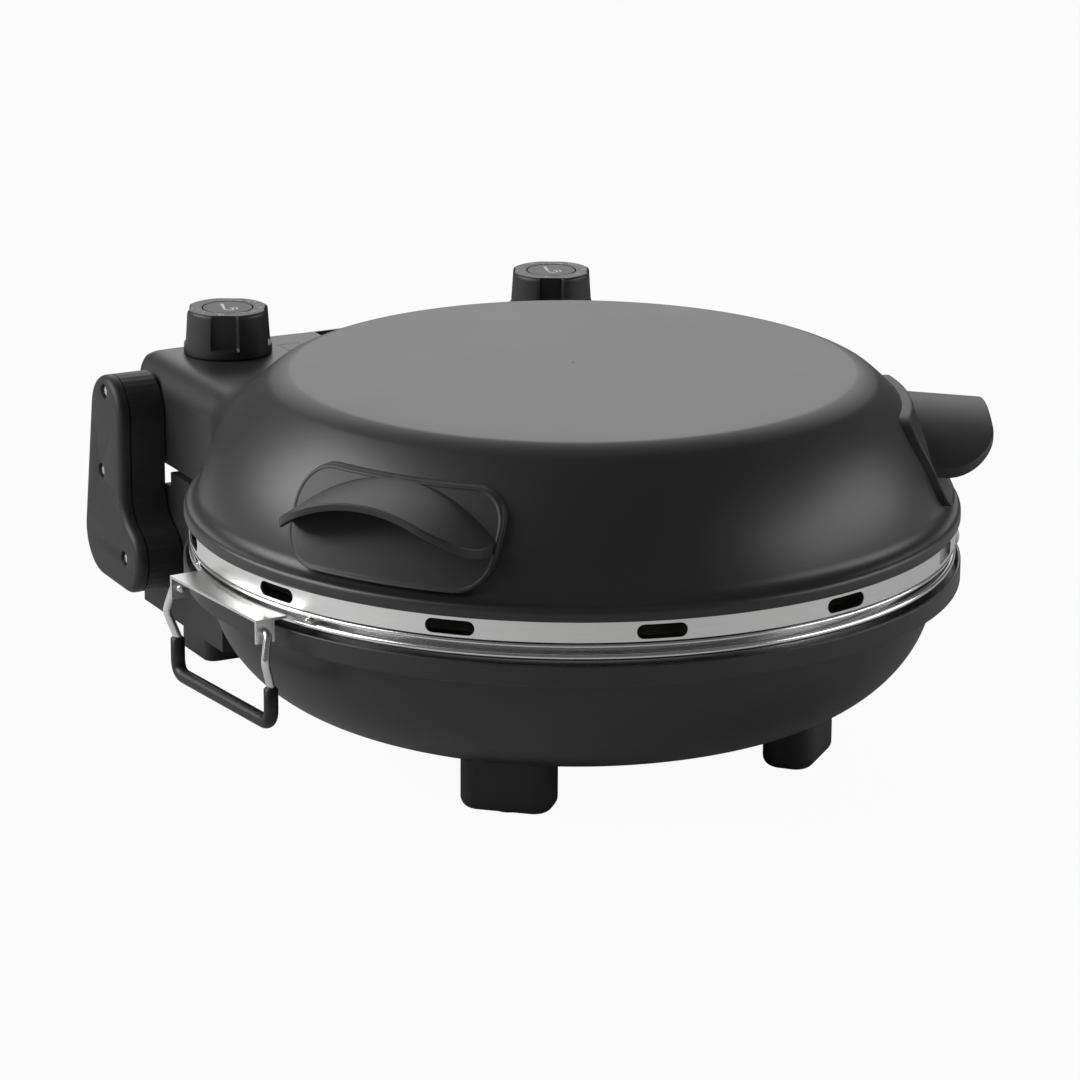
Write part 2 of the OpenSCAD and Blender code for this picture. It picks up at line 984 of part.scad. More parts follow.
// One cranked leg, from its eye down to the sleeve
module bail_leg(s) {
    wire([
        [0, s * (bail_half - 4), 0], [0, s * leg_y0, 0],
        [kink_out, s * (leg_y0 + kink_side), -kink_drop],
        [grip_x, s * leg_y0, -grip_top]
    ], bail_wire_d);
}

module at_bail(side) {
    on_side(side)
        facing(bail_turn(side))
            translate([bail_r, 0, bail_z])
                children();
}

module bail_wire(side) {
    color(chrome)
        place()
            at_bail(side) {
                bail_leg(1);
                bail_leg(-1);
                grip_bar(bail_wire_d);
            }
}

module bail_grip(side) {
    color(rubber)
        place()
            at_bail(side)
                difference() {
                    grip_bar(bail_grip_d);
                    grip_bar(bail_wire_d + 0.1);
                    bail_leg(1);
                    bail_leg(-1);
                }
}

// Hinge arms

// Points on a circle about c from angle t0 to angle t1
function swing(c, r, t0, t1, n) = [
    for (i = [0:n])
        let (t = t0 + (t1 - t0) * i / n)
        c + r * [cos(t), sin(t)]
];

// Angle at which a straight belt leaves circle a for circle b, on its left
function belt_angle(a, ra, b, rb) =
    atan2(b[1] - a[1], b[0] - a[0]) + acos((ra - rb) / norm(b - a));

// Outline of an arm in (y, z), drawn in by shrink: over the top lobe, down the
// back to the tail, under the toe and up the hollow neck
module arm_outline(shrink = 0) {
    top = [lid_pin_y, lid_pin_z];
    back = belt_angle(top, arm_top_r, arm_tail, arm_tail_r);
    under = belt_angle(arm_tail, arm_tail_r, arm_toe, arm_toe_r);
    neck_y = lid_pin_y - arm_top_r - arm_neck_r;
    reach = arm_neck_r + arm_toe_r;
    neck = [neck_y, arm_toe[1] + sqrt(reach * reach - pow(arm_toe[0] - neck_y, 2))];
    touch = atan2(neck[1] - arm_toe[1], neck[0] - arm_toe[0]);
    polygon(concat(
        swing(top, arm_top_r - shrink, 180, back, 16),
        swing(arm_tail, arm_tail_r - shrink, back, under, 12),
        swing(arm_toe, arm_toe_r - shrink, under, touch - 360, 12),
        swing(neck, arm_neck_r + shrink, touch - 180, 0, 8)
    ));
}

module arm_casing(side) {
    wall = 2.5;
    split = arm_x + arm_t - arm_cover_t;
    color(black)
        place()
            on_side(-side)
                difference() {
                    along_x(arm_x, split - seat_gap)
                        arm_outline();
                    difference() {
                        along_x(arm_x + wall, split + cut)
                            arm_outline(wall);
                        arm_bosses();
                    }
                    pin_holes(pin_d + 2 * seat_gap, pin_d + 2 * run_fit);
                    arm_screw_axes()
                        x_rod(arm_x + 6, split + cut, screw_hole_d);
                }
}

// Round bosses inside an arm for the pins and the screws
module arm_bosses() {
    for (p = [[lid_pin_y, lid_pin_z], arm_toe])
        translate([0, p[0], p[1]])
            x_rod(arm_x, arm_x + arm_t - arm_cover_t, pin_d + 8);
    arm_screw_axes()
        x_rod(arm_x, arm_x + arm_t - arm_cover_t, screw_d + 5);
}

module arm_screw_axes() {
    for (p = arm_screw_places)
        translate([0, p[0], p[1]])
            children();
}

// Holes for the lid pin and for the base pin
module pin_holes(d_lid, d_base) {
    translate([0, lid_pin_y, lid_pin_z])
        x_rod(arm_x - cut, pin_end + seat_gap, d_lid);
    translate([0, base_pin_y, base_pin_z])
        x_rod(arm_x - cut, pin_end + seat_gap, d_base);
}

// Depth of an arm cover under the heads of its screws
screw_seat = 3.4;

module arm_cover(side) {
    split = arm_x + arm_t - arm_cover_t;
    steps = 4;
    edge = 3;
    color(black)
        place()
            on_side(-side)
                difference() {
                    union() {
                        along_x(split, split + arm_cover_t - edge)
                            arm_outline();
                        for (i = [1:steps])
                            along_x(split, split + arm_cover_t - edge * (1 - sin(90 * i / steps)))
                                arm_outline(edge * (1 - cos(90 * i / steps)));
                    }
                    arm_screw_axes() {
                        x_rod(split - cut, split + arm_cover_t + cut, screw_hole_d);
                        x_rod(split + screw_seat, split + arm_cover_t + cut, screw_head_d + 1);
                    }
                }
}

module arm_screws() {
    split = arm_x + arm_t - arm_cover_t;
    color(zinc)
        place()
            both_sides()
                arm_screw_axes()
                    translate([split + screw_seat + screw_head_d / 4, 0, 0])
                        rotate([0, 90, 0])
                            screw(screw_d, screw_head_d, 10);
}

module upper_hinge_pins() {
    color(zinc)
        place()
            both_sides()
                translate([0, lid_pin_y, lid_pin_z])
                    x_rod(pin_start, pin_end, pin_d);
}

module lower_hinge_pins() {
    color(zinc)
        place()
            both_sides()
                translate([0, base_pin_y, base_pin_z])
                    x_rod(pin_start, pin_end, pin_d);
}

// Lid

module lid_shell() {
    color(paint)
        place()
            difference() {
                turned(sheet(lid_outer, lid_t));
                leads(loop_r, lid_loop_z, lead_hole_d);
                handle_screw_places()
                    x_rod(-3 * lid_t, 3 * lid_t, screw_hole_d);
            }
}

// A slot with round ends that looks outwards along +X
module slot_cut() {
    half = (slot_w - slot_h) / 2;
    z = carrier_z + seam_gap + (band_h - band_t) / 2;
    for (s = [-1, 1])
        translate([band_r - 12, s * half, z])
            x_rod(0, 24, slot_h);
    translate([band_r - 12, -half, z - slot_h / 2])
        cube([24, 2 * half, slot_h]);
}

module lid_band() {
    z0 = carrier_z + seam_gap;
    color(steel)
        place()
            difference() {
                rotate_extrude($fn = 180) {
                    translate([band_r - band_t, z0])
                        square([band_t, band_h]);
                    translate([band_r - 16, lip_z - band_t])
                        square([16, band_t]);
                }
                for (i = [0:slot_count - 1])
                    rotate([0, 0, -90 + 360 * (i + 0.5) / slot_count])
                        slot_cut();
            }
}

// Outline of the upper reflector, from its middle down to its rim
reflector_rim_w = 16;
function hood_line() =
    let (
        outer = lip_r - lid_t - 2,
        inner = outer - reflector_rim_w,
        flat = disc_r - reflector_rim_w
    )
    cleaned(concat(
        [[0, reflector_top], [flat, reflector_top]],
        arc([flat, reflector_top], [inner - 2, lip_z + 8], 7, 6),
        [[inner, lip_z + reflector_t], [outer, lip_z + reflector_t]]
    ));

// The room inside the upper reflector
module hood_room() {
    line = moved(hood_line(), reflector_t + seat_gap);
    keep = [for (i = [0:len(line) - 3]) line[i]];
    turned(concat(keep, [[keep[len(keep) - 1][0], lip_z], [0, lip_z]]));
}

module lid_reflector() {
    color(steel)
        place()
            difference() {
                turned(sheet(hood_line(), reflector_t));
                leads(loop_r, lid_loop_z, lead_hole_d);
            }
}

module upper_element() {
    color(tube_colour)
        place()
            element(loop_r, lid_loop_z);
}

module upper_element_clips() {
    color(steel)
        place()
            intersection() {
                element_clips(loop_r, lid_loop_z, reflector_top);
                hood_room();
            }
}

// Control housing: three crossing outlines give its round edges

module housing_plan(shrink) {
    r = housing_edge_r + 4;
    half = side_x - shrink;
    back = housing_y - shrink;
    translate([-half, 0])
        square([2 * half, back - r]);
    translate([-half + r, back - r - cut])
        square([2 * (half - r), r + cut]);
    for (x = [-1, 1])
        translate([x * (half - r), back - r])
            circle(r);
}

module housing_front(shrink) {
    r = housing_end_r;
    half = side_x - shrink;
    top = housing_top - shrink;
    translate([-half, housing_z - cut])
        square([2 * half, top - housing_z - r + cut]);
    translate([-half + r, top - r - cut])
        square([2 * (half - r), r + cut]);
    for (x = [-1, 1])
        translate([x * (half - r), top - r])
            circle(r);
}

// Side view of the housing, open at its underside when it is drawn in
module housing_section(shrink) {
    r = housing_edge_r;
    low_r = 9;
    back = housing_y - shrink;
    top = housing_top - shrink;
    low = shrink > 0 ? housing_z - cut : housing_z;
    translate([0, low])
        square([back - low_r, top - low - r]);
    translate([0, housing_z + low_r])
        square([back, top - housing_z - low_r - r]);
    translate([0, top - r - cut])
        square([back - r, r + cut]);
    translate([back - r, top - r])
        circle(r);
    translate([back - low_r, housing_z + low_r])
        circle(low_r);
}

module housing_body(shrink) {
    intersection() {
        translate([0, 0, housing_z - cut])
            linear_extrude(housing_h + 2 * cut)
                housing_plan(shrink);
        translate([0, housing_y, 0])
            rotate([90, 0, 0])
                linear_extrude(housing_y)
                    housing_front(shrink);
        along_x(-side_x, side_x)
            housing_section(shrink);
    }
}

// Soft fillet that runs from the top of the housing onto the lid
fillet_w = 9;
module housing_fillet() {
    inner = lid_radius(housing_top + fillet_w * 0.8) + seat_gap;
    outer = lid_radius(housing_top) + fillet_w;
    line = arc([outer, housing_top], [inner, housing_top + fillet_w * 0.8], 1.8, 6);
    intersection() {
        rotate_extrude($fn = 180)
            polygon(concat(line, [[inner - 6, housing_top - 6], [outer, housing_top - 6]]));
        translate([0, 0, housing_top - 6])
            linear_extrude(3 * fillet_w)
                translate([-side_x + housing_end_r, 0])
                    square([2 * (side_x - housing_end_r), housing_y]);
    }
}

// Radius of the lid at a height on its side
function lid_radius(z) =
    let (
        i = max([for (k = [0:len(lid_outer) - 1]) if (lid_outer[k][1] >= z) k]),
        a = lid_outer[i],
        b = lid_outer[i + 1]
    )
    a[0] + (b[0] - a[0]) * (a[1] - z) / (a[1] - b[1]);

lens_x = 34;
lens_back = 11;
lens_y = knob_y + lens_back;
lens_w = 9;
lens_sink = 4;
lamp_d = 5;
lamp_x = 14;
lamp_h = 10.4;

module control_housing() {
    color(paint)
        place()
            difference() {
                union() {
                    difference() {
                        union() {
                            housing_body(0);
                            housing_fillet();
                        }
                        lid_solid(seat_gap);
                        difference() {
                            housing_body(housing_t);
                            lid_solid(seat_gap + housing_t);
                            housing_screw_places()
                                translate([0, 0, cover_t + seat_gap])
                                    cylinder(h = big, d = post_d, $fn = 48);
                        }
                    }
                    lid_pin_bosses();
                    lens_tray();
                }
                lid_pin_bores();
                for (x = [-1, 1])
                    translate([x * knob_x, knob_y, housing_z])
                        cylinder(h = housing_h + cut, d = bush_d + 2 * seat_gap, $fn = 48);
                lens_room();
                leads(loop_r, lid_loop_z, lead_hole_d);
                housing_screw_places()
                    cylinder(h = 14, d = screw_hole_d, $fn = 24);
            }
}

module lid_pin_bosses() {
    both_sides()
        translate([0, lid_pin_y, lid_pin_z])
            x_rod(pin_start + 1, side_x - 1, pin_d + 7);
}

module lid_pin_bores() {
    both_sides()
        translate([0, lid_pin_y, lid_pin_z])
            x_rod(pin_start - cut, side_x + cut, pin_d + 2 * run_fit);
}

// Sunken tray in the top of the housing that holds the lamp window
module lens_tray() {
    translate([-lens_x - 2, lens_y - lens_w / 2 - 1.6, housing_top - 6])
        cube([2 * lens_x + 4, lens_w + 3.2, 5]);
}

module lens_room() {
    translate([-lens_x, lens_y - lens_w / 2, housing_top - lens_sink])
        cube([2 * lens_x, lens_w, lens_sink + cut]);
    for (x = [-1, 1])
        translate([x * lamp_x, lens_y, housing_top - lamp_h - cut])
            cylinder(h = lamp_h, d = lamp_d + 2 * seat_gap, $fn = 32);
}

module indicator_lens() {
    color(smoked)
        place()
            translate([0, lens_y, housing_top - lens_sink])
                difference() {
                    translate([-lens_x + seat_gap, -lens_w / 2 + seat_gap, 0])
                        cube([2 * (lens_x - seat_gap), lens_w - 2 * seat_gap, 1.6]);
                    for (x = [-1, 1])
                        translate([x * lamp_x, 0, -cut])
                            cylinder(h = 1.6, d = lamp_d + 2 * seat_gap, $fn = 32);
                }
}

module indicator_lamps() {
    color(lamp_red)
        place()
            for (x = [-1, 1])
                translate([x * lamp_x, lens_y, housing_top - lens_sink + 0.4 - lamp_h])
                    cylinder(h = lamp_h, d = lamp_d, $fn = 32);
}

// Floor of the control housing
cover_t = 2.2;
module housing_cover() {
    color(plastic)
        place()
            difference() {
                intersection() {
                    translate([-big / 2, 0, housing_z])
                        cube([big, big, cover_t]);
                    housing_body(housing_t + seat_gap);
                }
                cylinder(h = big, r = lip_r + housing_t + 2 * seat_gap, $fn = 180);
                housing_screw_places()
                    mirror([0, 0, 1])
                        screw_room(10);
            }
}

housing_screw_out = 12;
housing_screw_x = lens_x + housing_screw_out;
housing_screw_in = 18;
housing_screw_l = 12;
module housing_screw_places() {
    for (x = [-1, 1])
        translate([x * housing_screw_x, housing_y - housing_screw_in, housing_z])
            children();
}

module housing_screws() {
    color(zinc)
        place()
            housing_screw_places()
                mirror([0, 0, 1])
                    screw(screw_d, screw_head_d, housing_screw_l);
}

// Thermostats, with a threaded bush through the top of the housing
bush_d = 9;
shaft_d = 6;
stat_h = 20;
stat_w = 32;
stat_d = 26;
stat_tab = 6.5;
stat_top = housing_top - housing_t - seat_gap;

module thermostat(side) {
    color(ceramic)
        place()
            translate([side * knob_x, knob_y, 0])
                difference() {
                    union() {
                        translate([-stat_w / 2, -stat_d / 2, stat_top - stat_h])
                            cube([stat_w, stat_d, stat_h]);
                        translate([0, 0, stat_top - 1])
                            cylinder(h = housing_t + 4.2, d = bush_d, $fn = 48);
                        for (x = [-stat_w / 4, stat_w / 4])
                            translate([x - stat_tab / 2, -0.5, stat_top - stat_h - stat_tab])
                                cube([stat_tab, 1, stat_tab + cut]);
                    }
                    translate([0, 0, stat_top - shaft_foot - cut])
                        cylinder(h = 2 * stat_h, d = shaft_d + 2 * run_fit, $fn = 48);
                }
}

module thermostat_nuts() {
    color(zinc)
        place()
            for (x = [-1, 1])
                translate([x * knob_x, knob_y, housing_top])
                    difference() {
                        cylinder(h = 2, d = 14, $fn = 6);
                        translate([0, 0, -cut])
                            cylinder(h = 4, d = bush_d + seat_gap, $fn = 48);
                    }
}

// Knobs

knob_z = housing_top + 0.6;
knob_top = knob_z + knob_h;
knob_roof = 4;
recess_w = 11.7;
recess_t = 2.2;
foot_band = 4;
disc_sink = 1.6;
nut_room_r = 8.5;
nut_room_h = 6.6;
shaft_foot = 11;

module knob_shaft(side) {
    color(zinc)
        place()
            translate([side * knob_x, knob_y, stat_top - shaft_foot])
                difference() {
                    cylinder(h = knob_top - knob_roof - stat_top + shaft_foot, d = shaft_d, $fn = 48);
                    translate([shaft_d / 2 - 1.2, -shaft_d, 2 * shaft_foot])
                        cube([shaft_d, 2 * shaft_d, knob_h]);
                }
}

module knob(side) {
    edge = 1.5;
    color(plastic)
        place()
            translate([side * knob_x, knob_y, 0])
                difference() {
                    rotate_extrude($fn = 96)
                        polygon(concat(
                            [[0, knob_top], [knob_top_r - edge, knob_top]],
                            arc([knob_top_r - edge, knob_top], [knob_top_r, knob_top - edge], 0.4, 3),
                            [[knob_foot_r, knob_z], [0, knob_z]]
                        ));
                    for (i = [0:knob_flats - 1])
                        rotate([0, 0, 360 * i / knob_flats + knob_turn])
                            translate([knob_top_r - recess_t, -recess_w / 2, knob_z + foot_band])
                                cube([knob_top_r, recess_w, knob_h]);
                    translate([0, 0, knob_top - disc_sink])
                        cylinder(h = disc_sink + cut, r = knob_disc_r + 2 * seat_gap, $fn = 96);
                    translate([0, 0, knob_z - cut])
                        cylinder(h = nut_room_h + cut, r = nut_room_r, $fn = 48);
                    translate([0, 0, knob_z - cut])
                        cylinder(h = knob_h - knob_roof + cut, d = shaft_d + 2 * seat_gap, $fn = 48);
                }
}

module knob_disc(side) {
    color(black)
        place()
            translate([side * knob_x, knob_y, knob_top - disc_sink + seat_gap / 2])
                cylinder(h = disc_sink - seat_gap, r = knob_disc_r, $fn = 96);
}

// Side handles, drawn with +X outwards

plate_over_lip = 9.5;
plate_h = 41.5;
plate_low = lip_z + plate_over_lip;
plate_high = plate_low + plate_h;
plate_mid = (plate_low + plate_high) / 2;
plate_r = 16;

module plate_outline(shrink = 0) {
    h = plate_h - 2 * shrink;
    w = plate_w - 2 * shrink;
    r = plate_r - shrink;
    rotate([90, 0, 90])
        translate([0, plate_mid, 0])
            linear_extrude(lip_r + plate_t)
                round_rect(w, h, r);
}

// The arch: a sector of a round shell that leans down as it goes outwards
visor_over_lip = 31;
visor_chord_z = lip_z + visor_over_lip;
visor_arc_r = (visor_w * visor_w / 4 + visor_rise * visor_rise) / (2 * visor_rise);
visor_lean = 5;
visor_hinge_in = 20;
visor_root = 45;

module visor_band() {
    translate([lip_r - visor_hinge_in, 0, visor_chord_z + visor_rise - visor_arc_r])
        rotate([0, visor_lean, 0])
            intersection() {
                difference() {
                    x_rod(-visor_root, visor_root, 2 * visor_arc_r);
                    x_rod(-visor_root - cut, visor_root + cut, 2 * (visor_arc_r - visor_t));
                }
                translate([0, 0, visor_arc_r])
                    cube([3 * visor_root, visor_w + cut, 2 * (visor_rise + 2 * visor_t)], center = true);
            }
}

// Room inside the free edge of the visor, which is straight with round corners
module visor_edge() {
    translate([0, 0, visor_chord_z - visor_rise])
        linear_extrude(3 * visor_rise)
            round_rect(2 * (lip_r + visor_out), visor_w, visor_corner_r);
}

module handle(side) {
    color(plastic)
        place()
            on_side(side)
                facing(handle_turn(side))
                    difference() {
                        union() {
                            intersection() {
                                lid_solid(plate_t);
                                plate_outline();
                            }
                            intersection() {
                                visor_band();
                                visor_edge();
                            }
                        }
                        lid_solid(seat_gap / 2);
                        handle_screw_pair()
                            x_rod(-lid_t - plate_t, handle_screw_end + seat_gap, screw_hole_d);
                    }
}

// Places where the two screws of a handle pass through the lid, which leans
// there, so that their heads stand off its inner side
handle_screw_y = 30;
handle_screw_z = plate_low + 12;
handle_screw_x = sqrt(pow(lid_radius(handle_screw_z), 2) - pow(handle_screw_y, 2));
handle_head_in = lid_t + 3;
handle_screw_end = plate_t - 0.9;

module handle_screw_pair() {
    for (s = [-1, 1])
        translate([handle_screw_x, s * handle_screw_y, handle_screw_z])
            children();
}

module handle_screw_places() {
    for (side = [-1, 1])
        on_side(side)
            facing(handle_turn(side))
                handle_screw_pair()
                    children();
}

module handle_screws() {
    color(zinc)
        place()
            handle_screw_places()
                translate([-handle_head_in, 0, 0])
                    rotate([0, -90, 0])
                        screw(screw_d, screw_head_d, handle_head_in + handle_screw_end);
}

base_bowl();
rear_housing();
rear_cover();
rear_cover_screws();
front_foot(-1);  // front_foot_left
front_foot(1);  // front_foot_right
foot_pads();
foot_screws();
lower_reflector();
lower_element();
lower_element_clips();
terminal_block();
cord_gland();
stone_carrier();
carrier_ring();
pizza_stone();
bracket(-1);  // bail_bracket_left
bracket(1);  // bail_bracket_right
bracket_rivets();
lower_hinge_pins();
arm_casing(-1);  // arm_casing_left
arm_casing(1);  // arm_casing_right
arm_cover(-1);  // arm_cover_left
arm_cover(1);  // arm_cover_right
arm_screws();
upper_hinge_pins();
lid_shell();
lid_band();
lid_reflector();
upper_element();
upper_element_clips();
control_housing();
housing_cover();
housing_screws();
thermostat(-1);  // thermostat_left
thermostat(1);  // thermostat_right
thermostat_nuts();
indicator_lens();
indicator_lamps();
handle(-1);  // handle_left
handle(1);  // handle_right
handle_screws();
knob(-1);  // knob_left
knob(1);  // knob_right
knob_disc(-1);  // knob_disc_left
knob_disc(1);  // knob_disc_right
knob_shaft(-1);  // knob_shaft_left
knob_shaft(1);  // knob_shaft_right
bail_wire(-1);  // bail_wire_left
bail_wire(1);  // bail_wire_right
bail_grip(-1);  // bail_grip_left
bail_grip(1);  // bail_grip_right
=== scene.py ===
# %% [markdown]
# # An electric pizza maker, dressed in Blender
#
# The oven is a round base bowl and a domed lid that folds back on two arms.
# The engineering model arrives as a fixed frame of named parts, already in
# place. This lesson gives those parts their finishes and builds finer pieces
# wherever a pressed sheet, a moulded grip or a bent wire needs softer shapes.

import json
import math

import bmesh
import bpy
import numpy as np
from mathutils import Matrix, Vector
from mathutils.geometry import tessellate_polygon


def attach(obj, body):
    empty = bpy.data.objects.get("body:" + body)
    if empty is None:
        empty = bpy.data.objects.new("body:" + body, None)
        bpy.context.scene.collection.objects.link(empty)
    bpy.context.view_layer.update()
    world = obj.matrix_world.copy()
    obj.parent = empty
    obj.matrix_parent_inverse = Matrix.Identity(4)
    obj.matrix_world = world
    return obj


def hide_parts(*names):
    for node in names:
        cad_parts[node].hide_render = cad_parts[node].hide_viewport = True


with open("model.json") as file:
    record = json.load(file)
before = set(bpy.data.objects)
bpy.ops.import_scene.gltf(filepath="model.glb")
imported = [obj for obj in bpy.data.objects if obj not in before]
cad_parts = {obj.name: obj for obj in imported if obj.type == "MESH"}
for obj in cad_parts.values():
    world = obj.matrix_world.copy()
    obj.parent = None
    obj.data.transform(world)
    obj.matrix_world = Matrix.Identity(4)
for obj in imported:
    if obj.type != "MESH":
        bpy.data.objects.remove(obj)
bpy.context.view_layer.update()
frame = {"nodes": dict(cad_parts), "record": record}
print("parts in the frame:", len(frame["nodes"]))

# %% [markdown]
# ## Lengths
#
# Drawings of kitchen appliances are in millimetres and Blender works in
# metres. The round parts share one axis, which lies 21 mm in front of the
# middle of the frame, so every outline below is drawn about that axis.

# %% Lengths and the axis of the bowl
MM = 0.001
AXIS_Y = -21.0


def at_axis(x, y, z):
    """A point about the axis of the bowl, in metres in the frame."""
    return Vector((x * MM, (y + AXIS_Y) * MM, z * MM))


print("axis of the bowl at y =", AXIS_Y, "mm")

# %% [markdown]
# ## Camera
#
# The photograph looks down a little, from the front left, through a long
# lens. A camera that stands 2.2 m away and keeps the same long lens gives
# the ellipses of rim and disc their true flatness.

# %% Camera
AZIMUTH, ELEVATION, DISTANCE, ROLL = -27.39, 16.52, 2240.31, 0.27


def view_axes(azimuth, elevation):
    """Directions to the right, up and back of a camera at those angles."""
    a, e = math.radians(azimuth), math.radians(elevation)
    back = Vector((math.sin(a) * math.cos(e), -math.cos(a) * math.cos(e), math.sin(e)))
    right = Vector((math.cos(a), math.sin(a), 0))
    return right, back.cross(right), back


right, up, back = view_axes(AZIMUTH, ELEVATION)
lens = bpy.data.cameras.new("photo_camera")
lens.sensor_width = 36
lens.lens = 162.6
lens.clip_end = 20
camera = bpy.data.objects.new("photo_camera", lens)
bpy.context.scene.collection.objects.link(camera)
place = at_axis(*(back * DISTANCE - right * 14.5 + up * 87.45))
turn = Matrix((right, up, back)).transposed() @ Matrix.Rotation(math.radians(ROLL), 3, "Z")
camera.matrix_world = Matrix.Translation(place) @ turn.to_4x4()
bpy.context.scene.camera = camera
print("camera stands at", [round(v, 3) for v in camera.location])

# %% [markdown]
# ## Node groups
#
# Paint, plastic and stone all have a fine surface that only shows in how
# it scatters light. Each such effect is built once as a node group with
# named inputs, and every finish places it with its own values.

# %% Helpers for node groups


def new_group(name, inputs, outputs):
    """A shader node group with its sockets, and its two end nodes."""
    group = bpy.data.node_groups.new(name, "ShaderNodeTree")
    for label, kind, value in inputs:
        socket = group.interface.new_socket(label, in_out="INPUT", socket_type=kind)
        socket.default_value = value
    for label, kind in outputs:
        group.interface.new_socket(label, in_out="OUTPUT", socket_type=kind)
    return group, group.nodes.new("NodeGroupInput"), group.nodes.new("NodeGroupOutput")


def math_node(tree, operation, a, b=None):
    """A Math node whose inputs are numbers or sockets. Returns its output."""
    node = tree.nodes.new("ShaderNodeMath")
    node.operation = operation
    for slot, value in zip(node.inputs, (a, b)):
        if isinstance(value, (int, float)):
            slot.default_value = value
        elif value is not None:
            tree.links.new(value, slot)
    return node.outputs[0]


def noise_node(tree, vector, scale, detail):
    """A Noise Texture on a vector. Returns its value."""
    node = tree.nodes.new("ShaderNodeTexNoise")
    node.inputs["Detail"].default_value = detail
    tree.links.new(vector, node.inputs["Vector"])
    if isinstance(scale, (int, float)):
        node.inputs["Scale"].default_value = scale
    else:
        tree.links.new(scale, node.inputs["Scale"])
    return node.outputs["Fac"]


FLOAT, COLOUR = "NodeSocketFloat", "NodeSocketColor"
print("node helpers are ready")

# %% [markdown]
# The grain group has two scales of noise. The small one is the orange peel
# of powder paint or the spark texture of a mould, and the large one is the
# slow unevenness that keeps a wide face from looking printed. It puts out a
# height for a Bump node and a mask for each scale, and the finishes shift
# roughness and tone with the large one.

# %% Grain group
grain, grain_in, grain_out = new_group(
    "Surface grain",
    [("Grain size", FLOAT, 900.0), ("Patch size", FLOAT, 14.0)],
    [("Height", FLOAT), ("Fine mask", FLOAT), ("Patch mask", FLOAT)],
)
place_node = grain.nodes.new("ShaderNodeTexCoord")
fine = noise_node(grain, place_node.outputs["Object"], grain_in.outputs["Grain size"], 3.0)
patch = noise_node(grain, place_node.outputs["Object"], grain_in.outputs["Patch size"], 2.0)
height = math_node(grain, "ADD", fine, math_node(grain, "MULTIPLY", patch, 0.6))
grain.links.new(height, grain_out.inputs["Height"])
grain.links.new(fine, grain_out.inputs["Fine mask"])
grain.links.new(patch, grain_out.inputs["Patch mask"])
print("group:", grain.name)

# %% [markdown]
# Brushed steel is scratched in one direction. Round the band that direction
# is the angle about the axis, so the group turns each point into an angle
# and a height and stretches the noise along the angle.

# %% Brushing group
brushing, brushing_in, brushing_out = new_group(
    "Brushing round the axis",
    [("Lines", FLOAT, 2200.0), ("Stretch", FLOAT, 9.0)],
    [("Height", FLOAT), ("Line mask", FLOAT)],
)
spot = brushing.nodes.new("ShaderNodeTexCoord")
parts = brushing.nodes.new("ShaderNodeSeparateXYZ")
brushing.links.new(spot.outputs["Object"], parts.inputs[0])
depth = math_node(brushing, "SUBTRACT", parts.outputs["Y"], AXIS_Y * MM)
angle = math_node(brushing, "ARCTAN2", depth, parts.outputs["X"])
ring = math_node(
    brushing, "SQRT",
    math_node(
        brushing, "ADD",
        math_node(brushing, "MULTIPLY", parts.outputs["X"], parts.outputs["X"]),
        math_node(brushing, "MULTIPLY", depth, depth),
    ),
)
along = math_node(brushing, "MULTIPLY", angle, brushing_in.outputs["Stretch"])
across = math_node(brushing, "MULTIPLY", parts.outputs["Z"], brushing_in.outputs["Lines"])
inward = math_node(brushing, "MULTIPLY", ring, brushing_in.outputs["Lines"])
joined = brushing.nodes.new("ShaderNodeCombineXYZ")
for socket, value in zip(joined.inputs, (along, across, inward)):
    brushing.links.new(value, socket)
streaks = noise_node(brushing, joined.outputs[0], 1.0, 2.0)
brushing.links.new(streaks, brushing_out.inputs["Height"])
brushing.links.new(streaks, brushing_out.inputs["Line mask"])
print("group:", brushing.name)

# %% [markdown]
# ## Finishes
#
# One helper sets up a Principled BSDF with constant values on its own
# sockets. What changes over the surface comes from a group through a
# Map Range into roughness, through a Mix into the colour, and through a
# Bump node into the normal.

# %% Helper for a finish


def ranged(tree, value, low, high):
    """Maps a 0 to 1 value to a range."""
    node = tree.nodes.new("ShaderNodeMapRange")
    node.inputs["To Min"].default_value = low
    node.inputs["To Max"].default_value = high
    tree.links.new(value, node.inputs["Value"])
    return node.outputs["Result"]


def mixed(tree, factor, first, second):
    """A colour between two colours."""
    node = tree.nodes.new("ShaderNodeMix")
    node.data_type = "RGBA"
    for socket, value in ((node.inputs[6], first), (node.inputs[7], second)):
        if isinstance(value, tuple):
            socket.default_value = (*value, 1)
        else:
            tree.links.new(value, socket)
    tree.links.new(factor, node.inputs[0])
    return node.outputs[2]


def finish(name, dark, light, rough, bump, grain_size, metallic=0.0, specular=0.5, group=grain):
    """A material whose colour, roughness and bump follow a surface group."""
    material = bpy.data.materials.new(name)
    material.use_nodes = True
    tree = material.node_tree
    shader = tree.nodes["Principled BSDF"]
    shader.inputs["Metallic"].default_value = metallic
    shader.inputs["Specular IOR Level"].default_value = specular
    surface = tree.nodes.new("ShaderNodeGroup")
    surface.node_tree = group
    surface.inputs[0].default_value = grain_size
    mask = surface.outputs["Patch mask" if group is grain else "Line mask"]
    tree.links.new(mixed(tree, mask, dark, light), shader.inputs["Base Color"])
    tree.links.new(ranged(tree, mask, *rough), shader.inputs["Roughness"])
    relief = tree.nodes.new("ShaderNodeBump")
    relief.inputs["Strength"].default_value = 1.0
    relief.inputs["Distance"].default_value = bump * MM
    tree.links.new(surface.outputs["Height"], relief.inputs["Height"])
    tree.links.new(relief.outputs["Normal"], shader.inputs["Normal"])
    return material


print("finish helper is ready")

